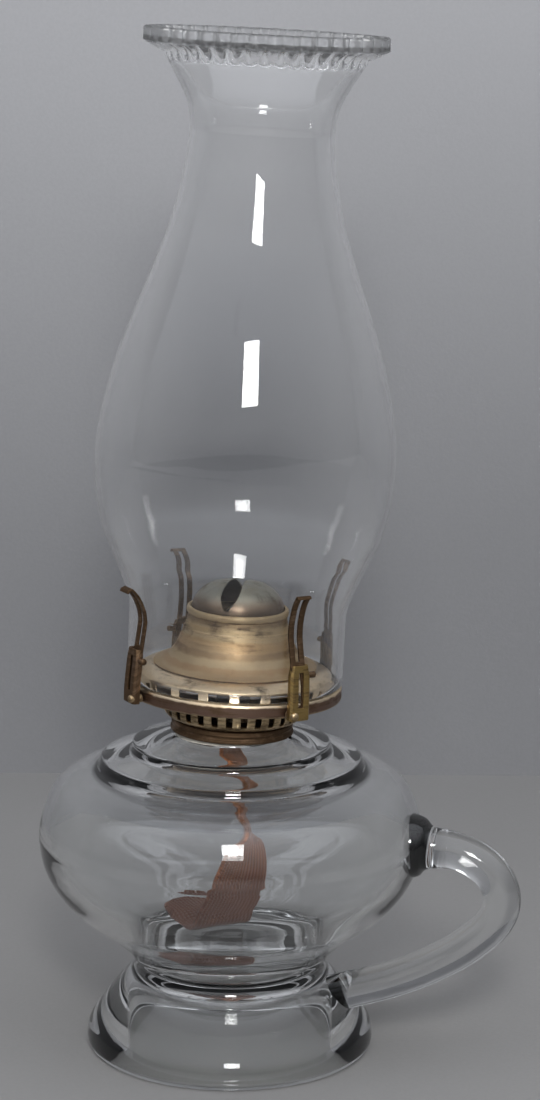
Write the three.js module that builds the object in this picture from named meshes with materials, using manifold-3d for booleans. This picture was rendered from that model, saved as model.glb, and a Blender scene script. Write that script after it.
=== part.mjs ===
// Finger lamp: a pressed glass oil lamp with a ring handle, a flat wick burner with four
// spring prongs, and a glass chimney with a crimped top. Millimetres, +Z up.
// The glass stands on z = 0 about its own axis. The collar is set a little crooked on the
// neck, as such collars often are, so the burner, wick and chimney share a leaning axis.
import * as THREE from 'three';
import { mergeVertices } from 'three/addons/utils/BufferGeometryUtils.js';
import Module from 'manifold-3d';

const wasm = await Module();
wasm.setup();

// Clearances, tools, and how far in the middle point of a rounded corner lies
const seatGap = 0.3;
const runningGap = 0.3;
const cutOverrun = 1;
const weldDistance = 1e-4;
const cornerShare = 0.3;

// Glass: foot, waist, bowl and neck
const footRadius = 50.2;
const footRestWidth = 12.4;
const footHollowHeight = 25.8;
const waistRadius = 33.2;
const waistHeight = 30.5;
const bowlRadius = 66.4;
const bowlHeight = 73.5;
const bowlWall = 3.6;
const bowlFloorHeight = 33;
const shoulderRadius = 20;
const shoulderHeight = 112;
const shoulderWall = 3.8;
const neckRadius = 18.6;
const neckWall = 2;
const neckRise = 3.3;
const neckLip = 0.6;

// Finger ring, pressed with the glass
const ringStandoff = 29.6;
const ringTopHeight = 76.8;
const ringFootHeight = 19.5;
const ringDepth = 13;
const ringWidth = 13;
const ringRootSwell = 1.7;

// The leaning axis of collar, burner, wick and chimney
const leanAngle = THREE.MathUtils.degToRad(2.5);
const leanAzimuth = THREE.MathUtils.degToRad(15);

// Collar and cement, heights from the shoulder
const sheet = 0.8;
const threadRadius = 15;
const collarRadius = 20.8;
const collarFootHeight = 1.3;
const collarHeight = 5.4;
const collarBead = 0.5;
const sleeveDrop = 1;
const cementDrop = 2.4;

// Burner base, basket and deck
const threadDepth = 5.9;
const flangeRadius = 21.3;
const basketRadius = 23.6;
const basketRound = 3.3;
const basketSlots = 30;
const slotWidth = 1.9;
const slotHeight = 5;
const slotSill = 1.2;
const deckRadius = 37.2;
const deckHeight = 19.4;
const deckRimDrop = 4.8;
const deckEdgeRound = 1;
const deckOpeningRadius = 24;
const screenHeight = 17;
const screenSheet = 0.5;
const screenHoleRadius = 1.1;
const outerHolePlace = 17.5;
const outerHoles = 12;
const innerHolePlace = 10.5;
const innerHoles = 6;

// Windowed gallery, cone and dome
const galleryInset = 3.7;
const galleryWallHeight = 3.3;
const galleryLedgeRise = 2;
const galleryWindows = 20;
const windowWidth = 6.8;
const windowHeight = 1.7;
const windowSill = 0.8;
const galleryTurn = THREE.MathUtils.degToRad(6);
const thinSheet = 0.6;
const galleryLedge = 5.3;
const coneShoulderRadius = 19.4;
const coneShoulderRise = 9.5;
const coneMouthRadius = 16.9;
const coneHeight = 20;
const coneBead = 0.7;
const coneBeadHeight = 2.4;
const domeRise = 9.5;
const domeSkirt = 1.6;
const domeSlotLength = 30;
const domeSlotWaist = 4.8;
const domeSlotEnd = 6.4;

// Wick and wick tube
const wickWidth = 25.4;
const wickThickness = 2.6;
const tubeWall = 0.7;
const tubeHeight = 45.4;
const tubeDrop = 3.5;
const wickTopHeight = 46;
const wickTwist = THREE.MathUtils.degToRad(-42);
const wickStraightRun = 8.6;
const wickFloorGap = 5.6;
const wickTailLength = 19;
const wickTailRise = 6;
const wickBend = 7;
const wickSway = 6.6;

// Wick raiser
const shaftRadius = 1.3;
const shaftHeight = 11.5;
const spurRadius = 5;
const spurRootRadius = 4;
const spurTeeth = 10;
const spurSheet = 0.9;
const spurSpacing = 11;
const earSpacing = 18.4;
const earHeight = 12;
const earRun = 6.2;
const strapHeight = 4.3;
const thumbwheelRadius = 9;
const thumbwheelThickness = 1.8;
const thumbwheelStandoff = 4.8;
const thumbwheelTeeth = 22;
const toothDepth = 0.7;
const thumbwheelWeb = 0.8;
const thumbwheelRim = 2;
const hubRadius = 2.8;
const hubLength = 3.2;

// Spring prongs
const prongCount = 4;
const firstProngAzimuth = THREE.MathUtils.degToRad(45);
const frontRightStray = THREE.MathUtils.degToRad(4);
const prongWidth = 7.7;
const legWidth = 5.6;
const prongSlot = 1.7;
const clipThickness = 2;
const legThickness = 0.9;
const prongFootStandoff = 3.7;
const prongFootHeight = 3.4;
const prongFootDrop = 0.2;
const clipHeight = 19;
const gripHeight = 23;
const prongHeight = 38;
const prongCurl = 6.8;
const studRadius = 1.1;
const studLength = 2.6;
const studRise = 11.7;
const rivetRadius = 0.9;
const rivetHeadRadius = 1.5;
const rivetHead = 1;
const rivetInset = 2.3;

// Chimney, heights from its own base
const chimneyHeight = 220;
const chimneyWall = 2;
const fitterHeight = 24;
const bulbRadius = 51.1;
const bulbHeight = 77;
const throatRadius = 24.1;
const throatHeight = 187;
const crownRadius = 39.2;
const crownBand = 4.5;
const crimpCount = 40;
const crimpDepth = 1.3;
const crimpRun = 10;

// Sizes that follow from others
const galleryRadius = deckRadius - galleryInset;
const coneBaseRadius = galleryRadius - galleryLedge;
const fitterRadius = deckRadius;
const prongFootRadius = deckRadius + prongFootStandoff;
const thumbwheelPlace = deckRadius + thumbwheelStandoff;
const wickLowHeight = bowlFloorHeight + wickFloorGap - shoulderHeight;

// Facets
const glassSides = 36;
const brassSides = 26;
const smallSides = 10;
const crimpSteps = 2;
const domeSteps = 6;

const glass = { color: 0xdfe6e6, roughness: 0.05, metalness: 0 };
const brass = { color: 0xa88c5c, roughness: 0.35, metalness: 1 };
const darkBrass = { color: 0x5a4a33, roughness: 0.45, metalness: 1 };
const nickel = { color: 0x9b958c, roughness: 0.35, metalness: 1 };
const plaster = { color: 0xb8b0a0, roughness: 0.9, metalness: 0 };
const cotton = { color: 0x9a5a34, roughness: 0.95, metalness: 0 };

// Basic operations

function solid(geometry) {
  const bare = geometry.clone();
  for (const name of Object.keys(bare.attributes)) {
    if (name !== 'position') bare.deleteAttribute(name);
  }
  const merged = mergeVertices(bare, weldDistance);
  const corners = merged.index.array;
  const triVerts = [];
  for (let i = 0; i < corners.length; i += 3) {
    const [a, b, c] = corners.slice(i, i + 3);
    if (a !== b && b !== c && c !== a) triVerts.push(a, b, c);
  }
  return new wasm.Manifold(new wasm.Mesh({
    numProp: 3,
    vertProperties: new Float32Array(merged.attributes.position.array),
    triVerts: new Uint32Array(triVerts),
  }));
}

function meshOf(name, body, finish) {
  const { vertProperties, triVerts } = body.getMesh();
  const geometry = new THREE.BufferGeometry();
  geometry.setAttribute('position', new THREE.BufferAttribute(vertProperties, 3));
  geometry.setIndex(new THREE.BufferAttribute(triVerts, 1));
  geometry.computeVertexNormals();
  const mesh = new THREE.Mesh(geometry, new THREE.MeshStandardMaterial(finish));
  mesh.name = name;
  return mesh;
}

// Revolves a closed or axis-to-axis outline of (radius, height) pairs about Z.
function revolve(outline, sides) {
  const points = outline.map(([r, h]) => new THREE.Vector2(r, h));
  return solid(new THREE.LatheGeometry(points, sides).rotateX(Math.PI / 2));
}

function ringOutline(inner, outer, low, high) {
  return [[inner, low], [outer, low], [outer, high], [inner, high], [inner, low]];
}

function disc(radius, low, high, sides) {
  return revolve([[0, low], [radius, low], [radius, high], [0, high]], sides);
}

function block(x0, x1, y0, y1, z0, z1) {
  const geometry = new THREE.BoxGeometry(x1 - x0, y1 - y0, z1 - z0);
  return solid(geometry.translate((x0 + x1) / 2, (y0 + y1) / 2, (z0 + z1) / 2));
}

// Extrudes a flat outline by depth, centred, and lays its axes along the given directions.
function prism(outline, depth, across, up) {
  const shape = new THREE.Shape(outline.map(([a, b]) => new THREE.Vector2(a, b)));
  const geometry = new THREE.ExtrudeGeometry(shape, { depth, bevelEnabled: false, steps: 1 });
  geometry.translate(0, 0, -depth / 2);
  const through = new THREE.Vector3().crossVectors(across, up);
  return solid(geometry.applyMatrix4(new THREE.Matrix4().makeBasis(across, up, through)));
}

const X = new THREE.Vector3(1, 0, 0);
const Y = new THREE.Vector3(0, 1, 0);
const Z = new THREE.Vector3(0, 0, 1);

function rod(radius, y0, y1, x, z, sides) {
  const geometry = new THREE.CylinderGeometry(radius, radius, y1 - y0, sides);
  return solid(geometry.translate(x, (y0 + y1) / 2, z));
}

function turned(body, angle) {
  return body.rotate([0, 0, THREE.MathUtils.radToDeg(angle)]);
}

// Cuts count copies of a tool, spaced evenly about Z, out of a body.
function cutAround(body, tool, count, start = 0) {
  let result = body;
  for (let i = 0; i < count; i += 1) {
    result = result.subtract(turned(tool, start + (2 * Math.PI * i) / count));
  }
  return result;
}

// Points of a smooth curve through share pairs stretched between two (radius, height) corners.
function curveBetween([r0, h0], [r1, h1], shares, count) {
  const through = shares.map(([a, b]) => new THREE.Vector2(r0 + a * (r1 - r0), h0 + b * (h1 - h0)));
  return new THREE.SplineCurve(through).getPoints(count).map((p) => [p.x, p.y]);
}

// Moves each point of an outline sideways by the thickness found at that point.
function offsetOutline(points, thickness) {
  return points.map(([r, h], i) => {
    const before = points[Math.max(i - 1, 0)];
    const after = points[Math.min(i + 1, points.length - 1)];
    const along = new THREE.Vector2(after[0] - before[0], after[1] - before[1]).normalize();
    const amount = typeof thickness === 'function' ? thickness(h) : thickness;
    return [r - along.y * amount, h + along.x * amount];
  });
}

// Joins rings of points into one closed skin. Neighbouring rings may hold different numbers
// of points. Open ends are closed by a fan about their centre.
function loft(rings, closedLoop) {
  const corners = rings.flat();
  const starts = rings.map((ring, i) => rings.slice(0, i).reduce((sum, r) => sum + r.length, 0));
  const index = [];
  const pairs = closedLoop ? rings.length : rings.length - 1;
  for (let k = 0; k < pairs; k += 1) {
    const next = (k + 1) % rings.length;
    const [n, m] = [rings[k].length, rings[next].length];
    const most = Math.max(n, m);
    for (let i = 0; i < most; i += 1) {
      const a = starts[k] + Math.floor((i * n) / most);
      const b = starts[k] + Math.floor(((i + 1) * n) / most) % n;
      const c = starts[next] + Math.floor((i * m) / most);
      const d = starts[next] + Math.floor(((i + 1) * m) / most) % m;
      if (a !== b) index.push(a, b, c);
      if (c !== d) index.push(b, d, c);
    }
  }
  if (!closedLoop) {
    closeEnd(corners, index, rings[0], starts[0], true);
    closeEnd(corners, index, rings[rings.length - 1], starts[rings.length - 1], false);
  }
  const geometry = new THREE.BufferGeometry().setFromPoints(corners);
  geometry.setIndex(index);
  return solid(geometry);
}

function closeEnd(corners, index, ring, start, reversed) {
  const centre = ring.reduce((sum, p) => sum.add(p), new THREE.Vector3()).divideScalar(ring.length);
  corners.push(centre);
  for (let i = 0; i < ring.length; i += 1) {
    const [a, b] = [start + i, start + ((i + 1) % ring.length)];
    index.push(corners.length - 1, reversed ? b : a, reversed ? a : b);
  }
}

// Glass font with foot and finger ring

const footShares = [[0.894, 0], [0.965, 0.04], [1, 0.105], [0.98, 0.21], [0.91, 0.31], [0.69, 0.49],
  [0.46, 0.66], [0.21, 0.82], [0.06, 0.91], [0, 1]];
const lowerBowlShares = [[0, 0], [0.1, 0.12], [0.34, 0.28], [0.62, 0.435], [0.845, 0.63], [0.96, 0.81],
  [1, 1]];
const shoulderShares = [[1, 0], [0.99, 0.14], [0.905, 0.42], [0.82, 0.55], [0.71, 0.65], [0.575, 0.732]];
const stepShares = [[0.545, 0.772], [0.43, 0.812], [0.325, 0.845], [0.305, 0.89], [0.13, 0.96], [0, 1]];
const floorShares = [[0, 0], [0.19, 0.007], [0.35, 0.04], [0.46, 0.09], [0.55, 0.165], [0.67, 0.305],
  [0.81, 0.485], [0.92, 0.67], [0.975, 0.83], [1, 1]];
const ceilingShares = [[1, 0], [0.985, 0.14], [0.885, 0.43], [0.79, 0.56], [0.66, 0.68], [0.33, 0.87],
  [0, 1]];
const hollowShares = [[1, 0], [0.985, 0.2], [0.965, 0.4], [0.935, 0.6], [0.88, 0.78], [0.78, 0.91],
  [0.6, 0.975], [0.3, 0.995], [0, 1]];

function fontBody() {
  const foot = curveBetween([waistRadius, 0], [footRadius, waistHeight], footShares, 6);
  const bowl = curveBetween([waistRadius, waistHeight], [bowlRadius, bowlHeight], lowerBowlShares, 6);
  const shoulder = curveBetween([shoulderRadius, bowlHeight], [bowlRadius, shoulderHeight], shoulderShares, 5);
  const step = stepShares.map(([a, b]) => [
    shoulderRadius + a * (bowlRadius - shoulderRadius),
    bowlHeight + b * (shoulderHeight - bowlHeight),
  ]);
  const top = shoulderHeight + neckRise;
  const neck = [[neckRadius, shoulderHeight], [neckRadius, top - neckLip], [neckRadius - neckLip, top], [0, top]];
  return revolve([[0, 0], ...foot, ...bowl.slice(1), ...shoulder.slice(1), ...step, ...neck], glassSides);
}

function fontCavity() {
  const widest = bowlRadius - bowlWall;
  const bore = neckRadius - neckWall;
  const ceiling = shoulderHeight - shoulderWall;
  const lower = curveBetween([0, bowlFloorHeight], [widest, bowlHeight], floorShares, 6);
  const upper = curveBetween([bore, bowlHeight], [widest, ceiling], ceilingShares, 4);
  const out = shoulderHeight + neckRise + cutOverrun;
  return revolve([...lower, ...upper.slice(1), [bore, out], [0, out]], glassSides);
}

function footHollow() {
  const rest = waistRadius + footShares[0][0] * (footRadius - waistRadius) - footRestWidth;
  const vault = curveBetween([0, 0], [rest, footHollowHeight], hollowShares, 6);
  return revolve([[0, -cutOverrun], [rest, -cutOverrun], ...vault], glassSides);
}

// The ring leaves the bowl level, turns down and runs back to the foot. Its centre line is
// given as shares of its reach beyond the waist and of its height above the foot end.
const ringShares = [[0.408, 1], [0.503, 1], [0.556, 1], [0.604, 0.997], [0.725, 0.99], [0.831, 0.955],
  [0.926, 0.885], [0.981, 0.8], [1, 0.71], [0.987, 0.625], [0.942, 0.54], [0.87, 0.46], [0.778, 0.375],
  [0.659, 0.29], [0.514, 0.205], [0.344, 0.125], [0.154, 0.055], [-0.004, 0]];
const ringSwellShares = [1, 1, 0.75, 0.2];

function fingerRing() {
  const reach = bowlRadius + ringStandoff;
  const spine = new THREE.CatmullRomCurve3(ringShares.map(([a, b]) => new THREE.Vector3(
    waistRadius + a * (reach - waistRadius),
    0,
    ringFootHeight + b * (ringTopHeight - ringFootHeight),
  )));
  const rings = ringShares.map((_, i) => {
    const t = i / (ringShares.length - 1);
    const centre = spine.getPoint(t);
    const outward = new THREE.Vector3().crossVectors(Y, spine.getTangent(t));
    const swell = 1 + (ringSwellShares[i] ?? 0) * (ringRootSwell - 1);
    return ellipseRing(centre, outward, Y, (swell * ringDepth) / 2, (swell * ringWidth) / 2, smallSides);
  });
  return loft(rings, false);
}

function ellipseRing(centre, across, up, a, b, sides) {
  return Array.from({ length: sides }, (_, i) => {
    const angle = (2 * Math.PI * (i + 0.5)) / sides;
    return centre.clone()
      .addScaledVector(across, a * Math.cos(angle))
      .addScaledVector(up, b * Math.sin(angle));
  });
}

function glassFont() {
  const pressed = fontBody().add(fingerRing());
  return meshOf('glass_font', pressed.subtract(fontCavity()).subtract(footHollow()), glass);
}

// Collar and cement, on the leaning axis with heights from the shoulder

const leanAxis = new THREE.Vector3(-Math.sin(leanAzimuth), Math.cos(leanAzimuth), 0);
const leanMatrix = new THREE.Matrix4().makeRotationAxis(leanAxis, leanAngle).setPosition(0, 0, shoulderHeight);

// The outside of shoulder and neck, grown by the seat gap, as the leaning pieces see it.
function neckClearance() {
  const reach = collarRadius + cutOverrun;
  const slope = (bowlRadius - shoulderRadius) / (shoulderHeight - bowlHeight);
  const drop = cementDrop + collarRadius;
  const top = shoulderHeight + neckRise + seatGap;
  const outline = [
    [0, shoulderHeight - drop],
    [reach + slope * drop, shoulderHeight - drop],
    [shoulderRadius, shoulderHeight + seatGap],
    [neckRadius + seatGap, shoulderHeight + seatGap],
    [neckRadius + seatGap, top],
    [0, top],
  ];
  return revolve(outline, glassSides).transform(leanMatrix.clone().invert().elements);
}

function collar() {
  const bore = threadRadius + runningGap;
  const skirt = collarRadius - sheet;
  const outline = [
    [skirt, collarFootHeight],
    [collarRadius + collarBead, collarFootHeight],
    [collarRadius + collarBead, collarFootHeight + 2 * collarBead],
    [collarRadius, collarFootHeight + 3 * collarBead],
    [collarRadius, collarHeight - collarBead],
    [collarRadius - collarBead, collarHeight],
    [bore, collarHeight],
    [bore, -sleeveDrop],
    [bore + sheet, -sleeveDrop],
    [bore + sheet, collarHeight - sheet],
    [skirt, collarHeight - sheet],
    [skirt, collarFootHeight],
  ];
  return meshOf('collar', revolve(outline, brassSides), darkBrass);
}

function collarCement() {
  const outer = collarRadius - sheet - seatGap;
  const filled = revolve(ringOutline(neckRadius, outer, -cementDrop, collarHeight - sheet - seatGap), brassSides);
  return meshOf('collar_cement', filled.subtract(neckClearance()), plaster);
}

// Burner base, basket, screen and deck

const tubeThickness = wickThickness + 2 * (runningGap + tubeWall);
const tubeWidth = wickWidth + 2 * (runningGap + tubeWall);
const flangeHeight = collarHeight + seatGap;
const basketFloor = flangeHeight + sheet + seatGap;
const basketTop = deckHeight - sheet - seatGap;
const shaftPlace = -(wickThickness / 2 + runningGap + spurRadius);

function tubeHole(gap, low, high) {
  const x = tubeThickness / 2 + gap;
  const y = tubeWidth / 2 + gap;
  return block(-x, x, -y, y, low, high);
}

function burnerBase() {
  const floor = flangeHeight + sheet - threadDepth;
  const outline = [
    [0, floor],
    [threadRadius, floor],
    [threadRadius, flangeHeight],
    [flangeRadius, flangeHeight],
    [flangeRadius, flangeHeight + sheet],
    [threadRadius - sheet, flangeHeight + sheet],
    [threadRadius - sheet, floor + sheet],
    [0, floor + sheet],
  ];
  const hole = tubeHole(seatGap, floor - cutOverrun, floor + sheet + cutOverrun);
  return meshOf('burner_base', revolve(outline, brassSides).subtract(hole), darkBrass);
}

const basketSideShares = [[0, 0], [0.7, 0.35], [1, 1]];

// The rounded foot of the basket, moved inwards by inset.
function basketSide(inset) {
  return basketSideShares.map(([a, b]) => [
    flangeRadius + a * (basketRadius - flangeRadius) - inset,
    basketFloor + inset + b * (basketRound - inset),
  ]);
}

function airBasket() {
  const outline = [
    [threadRadius, basketFloor],
    ...basketSide(0),
    [basketRadius, basketTop],
    [basketRadius - sheet, basketTop],
    ...basketSide(sheet).reverse(),
    [threadRadius, basketFloor + sheet],
    [threadRadius, basketFloor],
  ];
  const low = basketFloor + slotSill;
  const reach = basketRadius + cutOverrun;
  const slot = block(flangeRadius - 3 * sheet, reach, -slotWidth / 2, slotWidth / 2, low, low + slotHeight);
  const band = cutAround(revolve(outline, basketSlots), slot, basketSlots, Math.PI / basketSlots);
  const shaftHole = rod(shaftRadius + runningGap, 0, reach, shaftPlace, shaftHeight, smallSides);
  return meshOf('air_basket', band.subtract(shaftHole), darkBrass);
}

function airScreen() {
  const radius = (basketRadius - sheet) * Math.cos(Math.PI / basketSlots) - seatGap;
  const plate = disc(radius, screenHeight, screenHeight + screenSheet, brassSides);
  const [low, high] = [screenHeight - cutOverrun, screenHeight + screenSheet + cutOverrun];
  let pierced = plate.subtract(tubeHole(seatGap, low, high));
  for (const [place, count] of [[outerHolePlace, outerHoles], [innerHolePlace, innerHoles]]) {
    const hole = disc(screenHoleRadius, low, high, smallSides / 2).translate([place, 0, 0]);
    pierced = cutAround(pierced, hole, count);
  }
  return meshOf('air_screen', pierced, darkBrass);
}

function deck() {
  const top = deckHeight;
  const low = top - deckRimDrop;
  const outline = [
    [deckOpeningRadius, top - sheet],
    [deckRadius - sheet, top - sheet],
    [deckRadius - sheet, low],
    [deckRadius, low],
    [deckRadius, top - deckEdgeRound],
    [deckRadius - cornerShare * deckEdgeRound, top - cornerShare * deckEdgeRound],
    [deckRadius - deckEdgeRound, top],
    [deckOpeningRadius, top],
    [deckOpeningRadius, top - sheet],
  ];
  return meshOf('burner_deck', revolve(outline, brassSides), brass);
}

// Windowed gallery, cone and dome

const galleryFoot = deckHeight + seatGap;
const galleryTop = galleryFoot + galleryWallHeight;
const coneFoot = galleryTop + galleryLedgeRise + seatGap;
const coneTop = coneFoot + coneHeight;

function gallery() {
  const inner = coneBaseRadius - sheet;
  const outline = [
    [galleryRadius - sheet, galleryFoot],
    [galleryRadius, galleryFoot],
    [galleryRadius, galleryTop],
    [galleryRadius - sheet, galleryTop + cornerShare * galleryLedgeRise],
    [inner, galleryTop + galleryLedgeRise],
    [inner, galleryTop + galleryLedgeRise - sheet],
    [galleryRadius - sheet, galleryTop - cornerShare * sheet],
    [galleryRadius - sheet, galleryFoot],
  ];
  const sill = galleryFoot + windowSill;
  const [near, far] = [galleryRadius - 3 * sheet, galleryRadius + cutOverrun];
  const pane = block(near, far, -windowWidth / 2, windowWidth / 2, sill, sill + windowHeight);
  const ring = revolve(outline, 2 * galleryWindows);
  return meshOf('cone_gallery', turned(cutAround(ring, pane, galleryWindows), galleryTurn), brass);
}

const coneSkirtShares = [[1, 0], [0.66, 0.13], [0.36, 0.36], [0.14, 0.66], [0, 1]];
const coneWallShares = [[1, 0], [0.8, 0.14], [0.5, 0.45], [0.36, 0.5], [0, 1]];
const coneBeadShares = [[0, 0], [0.8, 0.25], [0.8, 0.75], [0, 1]];

function draftCone() {
  const shoulder = coneFoot + coneShoulderRise;
  const neck = coneTop - coneBeadHeight;
  const skirt = curveBetween([coneShoulderRadius, coneFoot], [coneBaseRadius, shoulder], coneSkirtShares, 4);
  const wall = coneWallShares.map(([a, b]) => [
    coneMouthRadius + a * (coneShoulderRadius - coneMouthRadius),
    shoulder + b * (neck - shoulder),
  ]);
  const bead = coneBeadShares.map(([a, b]) => [coneMouthRadius + a * coneBead, neck + b * coneBeadHeight]);
  const outside = [...skirt, ...wall.slice(1), ...bead.slice(1)];
  const bare = [skirt[0], skirt[1], skirt[3], wall[0], [coneMouthRadius, neck], [coneMouthRadius, coneTop]];
  const inside = offsetOutline(bare, thinSheet).reverse();
  inside[0] = [coneMouthRadius - thinSheet, coneTop];
  inside[inside.length - 1] = [coneBaseRadius - thinSheet, coneFoot];
  return meshOf('draft_cone', revolve([...outside, ...inside, outside[0]], brassSides), brass);
}

function flameDome() {
  const mouth = (coneMouthRadius - thinSheet) * Math.cos(Math.PI / brassSides);
  const radius = mouth - seatGap;
  const foot = coneTop - domeSkirt;
  const shell = (r, rise) => Array.from({ length: domeSteps + 1 }, (_, i) => {
    const angle = (Math.PI / 2) * (1 - i / domeSteps);
    return [r * Math.sin(angle), coneTop + rise * Math.cos(angle)];
  });
  const outside = shell(radius, domeRise);
  const inside = shell(radius - thinSheet, domeRise - thinSheet).reverse();
  inside[0][0] = 0;
  outside[domeSteps][0] = 0;
  const cap = revolve([...inside, [radius - thinSheet, foot], [radius, foot], ...outside], brassSides);
  return meshOf('flame_dome', cap.subtract(domeSlot()), nickel);
}

const slotFlareShare = 0.72;

// The slot is narrowest at its middle and widest a little short of its ends.
function domeSlot() {
  const half = domeSlotLength / 2;
  const flare = slotFlareShare * half;
  const [tip, wide, waist] = [domeSlotEnd / 4, domeSlotEnd / 2, domeSlotWaist / 2];
  const right = [[tip, -half], [wide, -flare], [waist, 0], [wide, flare], [tip, half]];
  const left = right.map(([x, y]) => [-x, y]).reverse();
  const depth = 2 * (domeRise + cutOverrun);
  return prism([...right, ...left], depth, X, Y).translate([0, 0, coneTop + depth / 2 + seatGap]);
}

// Wick tube with raiser

function wickTube() {
  const bore = block(
    -wickThickness / 2 - runningGap, wickThickness / 2 + runningGap,
    -wickWidth / 2 - runningGap, wickWidth / 2 + runningGap,
    -tubeDrop - cutOverrun, tubeHeight + cutOverrun,
  );
  let tube = tubeHole(0, -tubeDrop, tubeHeight).subtract(bore);
  for (const side of [-1, 1]) {
    const y = (side * spurSpacing) / 2;
    const half = spurSheet / 2 + runningGap;
    const slot = block(-tubeThickness, 0, y - half, y + half, shaftHeight - spurRadius, shaftHeight + spurRadius);
    tube = tube.subtract(slot);
  }
  return meshOf('wick_tube', tube, brass);
}

function raiserBracket() {
  const face = -tubeThickness / 2 - seatGap;
  const low = shaftHeight - spurRadius - runningGap - strapHeight;
  const half = earSpacing / 2;
  let bracket = block(face - sheet, face, -half - sheet, half + sheet, low, low + strapHeight);
  for (const side of [-1, 1]) {
    const near = side * half;
    const far = side * (half + sheet);
    const ear = block(face - earRun, face, Math.min(near, far), Math.max(near, far), low, low + earHeight);
    bracket = bracket.add(ear);
  }
  const reach = half + sheet + cutOverrun;
  const bore = rod(shaftRadius + runningGap, -reach, reach, shaftPlace, shaftHeight, smallSides);
  return meshOf('raiser_bracket', bracket.subtract(bore), darkBrass);
}

function wickShaft() {
  const start = -earSpacing / 2 - 2 * sheet - runningGap;
  const end = thumbwheelPlace + hubLength / 2 + sheet;
  const shaft = rod(shaftRadius, start, end, shaftPlace, shaftHeight, smallSides);
  return meshOf('wick_shaft', shaft, brass);
}

// A flat toothed wheel that turns about Y.
function toothedWheel(tipRadius, rootRadius, teeth, thickness) {
  const outline = Array.from({ length: 2 * teeth }, (_, i) => {
    const angle = (Math.PI * i) / teeth;
    const radius = i % 2 === 0 ? tipRadius : rootRadius;
    return [radius * Math.cos(angle), radius * Math.sin(angle)];
  });
  return prism(outline, thickness, Z, X);
}

function wheelBore(reach) {
  return rod(shaftRadius + seatGap, -reach, reach, 0, 0, smallSides);
}

function spurWheel(name, side) {
  const wheel = toothedWheel(spurRadius, spurRootRadius, spurTeeth, spurSheet);
  const place = [shaftPlace, (side * spurSpacing) / 2, shaftHeight];
  return meshOf(name, wheel.subtract(wheelBore(spurSheet)).translate(place), brass);
}

function thumbwheel() {
  const half = thumbwheelThickness / 2;
  const dish = thumbwheelRadius - toothDepth - thumbwheelRim;
  let wheel = toothedWheel(thumbwheelRadius, thumbwheelRadius - toothDepth, thumbwheelTeeth, thumbwheelThickness);
  for (const side of [-1, 1]) {
    const [near, far] = [side * (thumbwheelWeb / 2), side * (half + cutOverrun)];
    wheel = wheel.subtract(rod(dish, Math.min(near, far), Math.max(near, far), 0, 0, 2 * smallSides));
  }
  wheel = wheel.add(rod(hubRadius, -hubLength / 2, hubLength / 2, 0, 0, smallSides));
  wheel = wheel.subtract(wheelBore(hubLength));
  return meshOf('thumbwheel', wheel.translate([shaftPlace, thumbwheelPlace, shaftHeight]), brass);
}

// Wick: a flat woven strap. It is straight in the tube and as far below it as the raiser lifts
// it, and then sways, twists and turns up on the font floor.

const bendSteps = 4;
const wickSwayShares = [[0.1, 0.4], [0.25, 1], [0.47, 0.98], [0.7, 0.85], [0.88, 0.72]];
const wickTwistStartShare = 0.4;

function wick() {
  const lean = new THREE.Vector3(Math.cos(leanAzimuth), Math.sin(leanAzimuth), 0);
  const start = -tubeDrop - wickStraightRun;
  const stations = [[wickTopHeight, 0, 0], [start, 0, 0]];
  for (const [t, sway] of wickSwayShares) {
    stations.push([start + t * (wickLowHeight + wickBend - start), sway * wickSway, t]);
  }
  const rings = stations.map(([h, sway, t]) => {
    const centre = lean.clone().multiplyScalar(sway).setZ(h);
    const turn = Math.PI / 2 + wickTwist * THREE.MathUtils.smoothstep(t, wickTwistStartShare, 1);
    return strapRing(centre, turn, -1, 0);
  });
  const turn = Math.PI / 2 + wickTwist;
  const away = new THREE.Vector3(-Math.sin(turn), Math.cos(turn), 0);
  const foot = lean.clone().multiplyScalar(wickSwayShares.at(-1)[1] * wickSway);
  const rise = Math.atan2(wickTailRise, wickTailLength);
  const sweep = Math.PI / 2 + rise;
  for (let i = 0; i <= bendSteps; i += 1) {
    const angle = (sweep * i) / bendSteps;
    const centre = foot.clone().addScaledVector(away, wickBend * (1 - Math.cos(angle)));
    centre.z = wickLowHeight + wickBend * (1 - Math.sin(angle));
    rings.push(strapRing(centre, turn, -Math.cos(angle), Math.sin(angle)));
  }
  const end = foot.clone().addScaledVector(away, wickBend * (1 - Math.cos(sweep)) + wickTailLength);
  end.z = wickLowHeight + wickBend * (1 - Math.sin(sweep)) + wickTailRise;
  rings.push(strapRing(end, turn, -Math.cos(sweep), Math.sin(sweep)));
  return meshOf('wick', loft(rings, false), cotton);
}

// The four corners of the strap where it runs along (out * horizontal, down * vertical).
function strapRing(centre, turn, vertical, horizontal) {
  const width = new THREE.Vector3(Math.cos(turn), Math.sin(turn), 0);
  const away = new THREE.Vector3(-Math.sin(turn), Math.cos(turn), 0);
  const along = away.multiplyScalar(horizontal).setZ(vertical);
  const face = new THREE.Vector3().crossVectors(width, along).normalize();
  const corners = [[1, 1], [1, -1], [-1, -1], [-1, 1]];
  return corners.map(([a, b]) => centre.clone()
    .addScaledVector(width, (a * wickWidth) / 2)
    .addScaledVector(face, (b * wickThickness) / 2));
}

// Spring prongs: a riveted foot, a slotted clip and two legs that end in a curled tip

const gripRadius = fitterRadius + seatGap;
const prongFloor = deckHeight - deckRimDrop - prongFootDrop;
const clipShares = [[1, 0], [1, 0.22], [0.62, 0.5], [0.22, 0.78], [0, 1]];
const curlShares = [[0, 0], [0.1, 0.26], [0.26, 0.47], [0.45, 0.66], [0.68, 0.83], [1, 1]];

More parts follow.
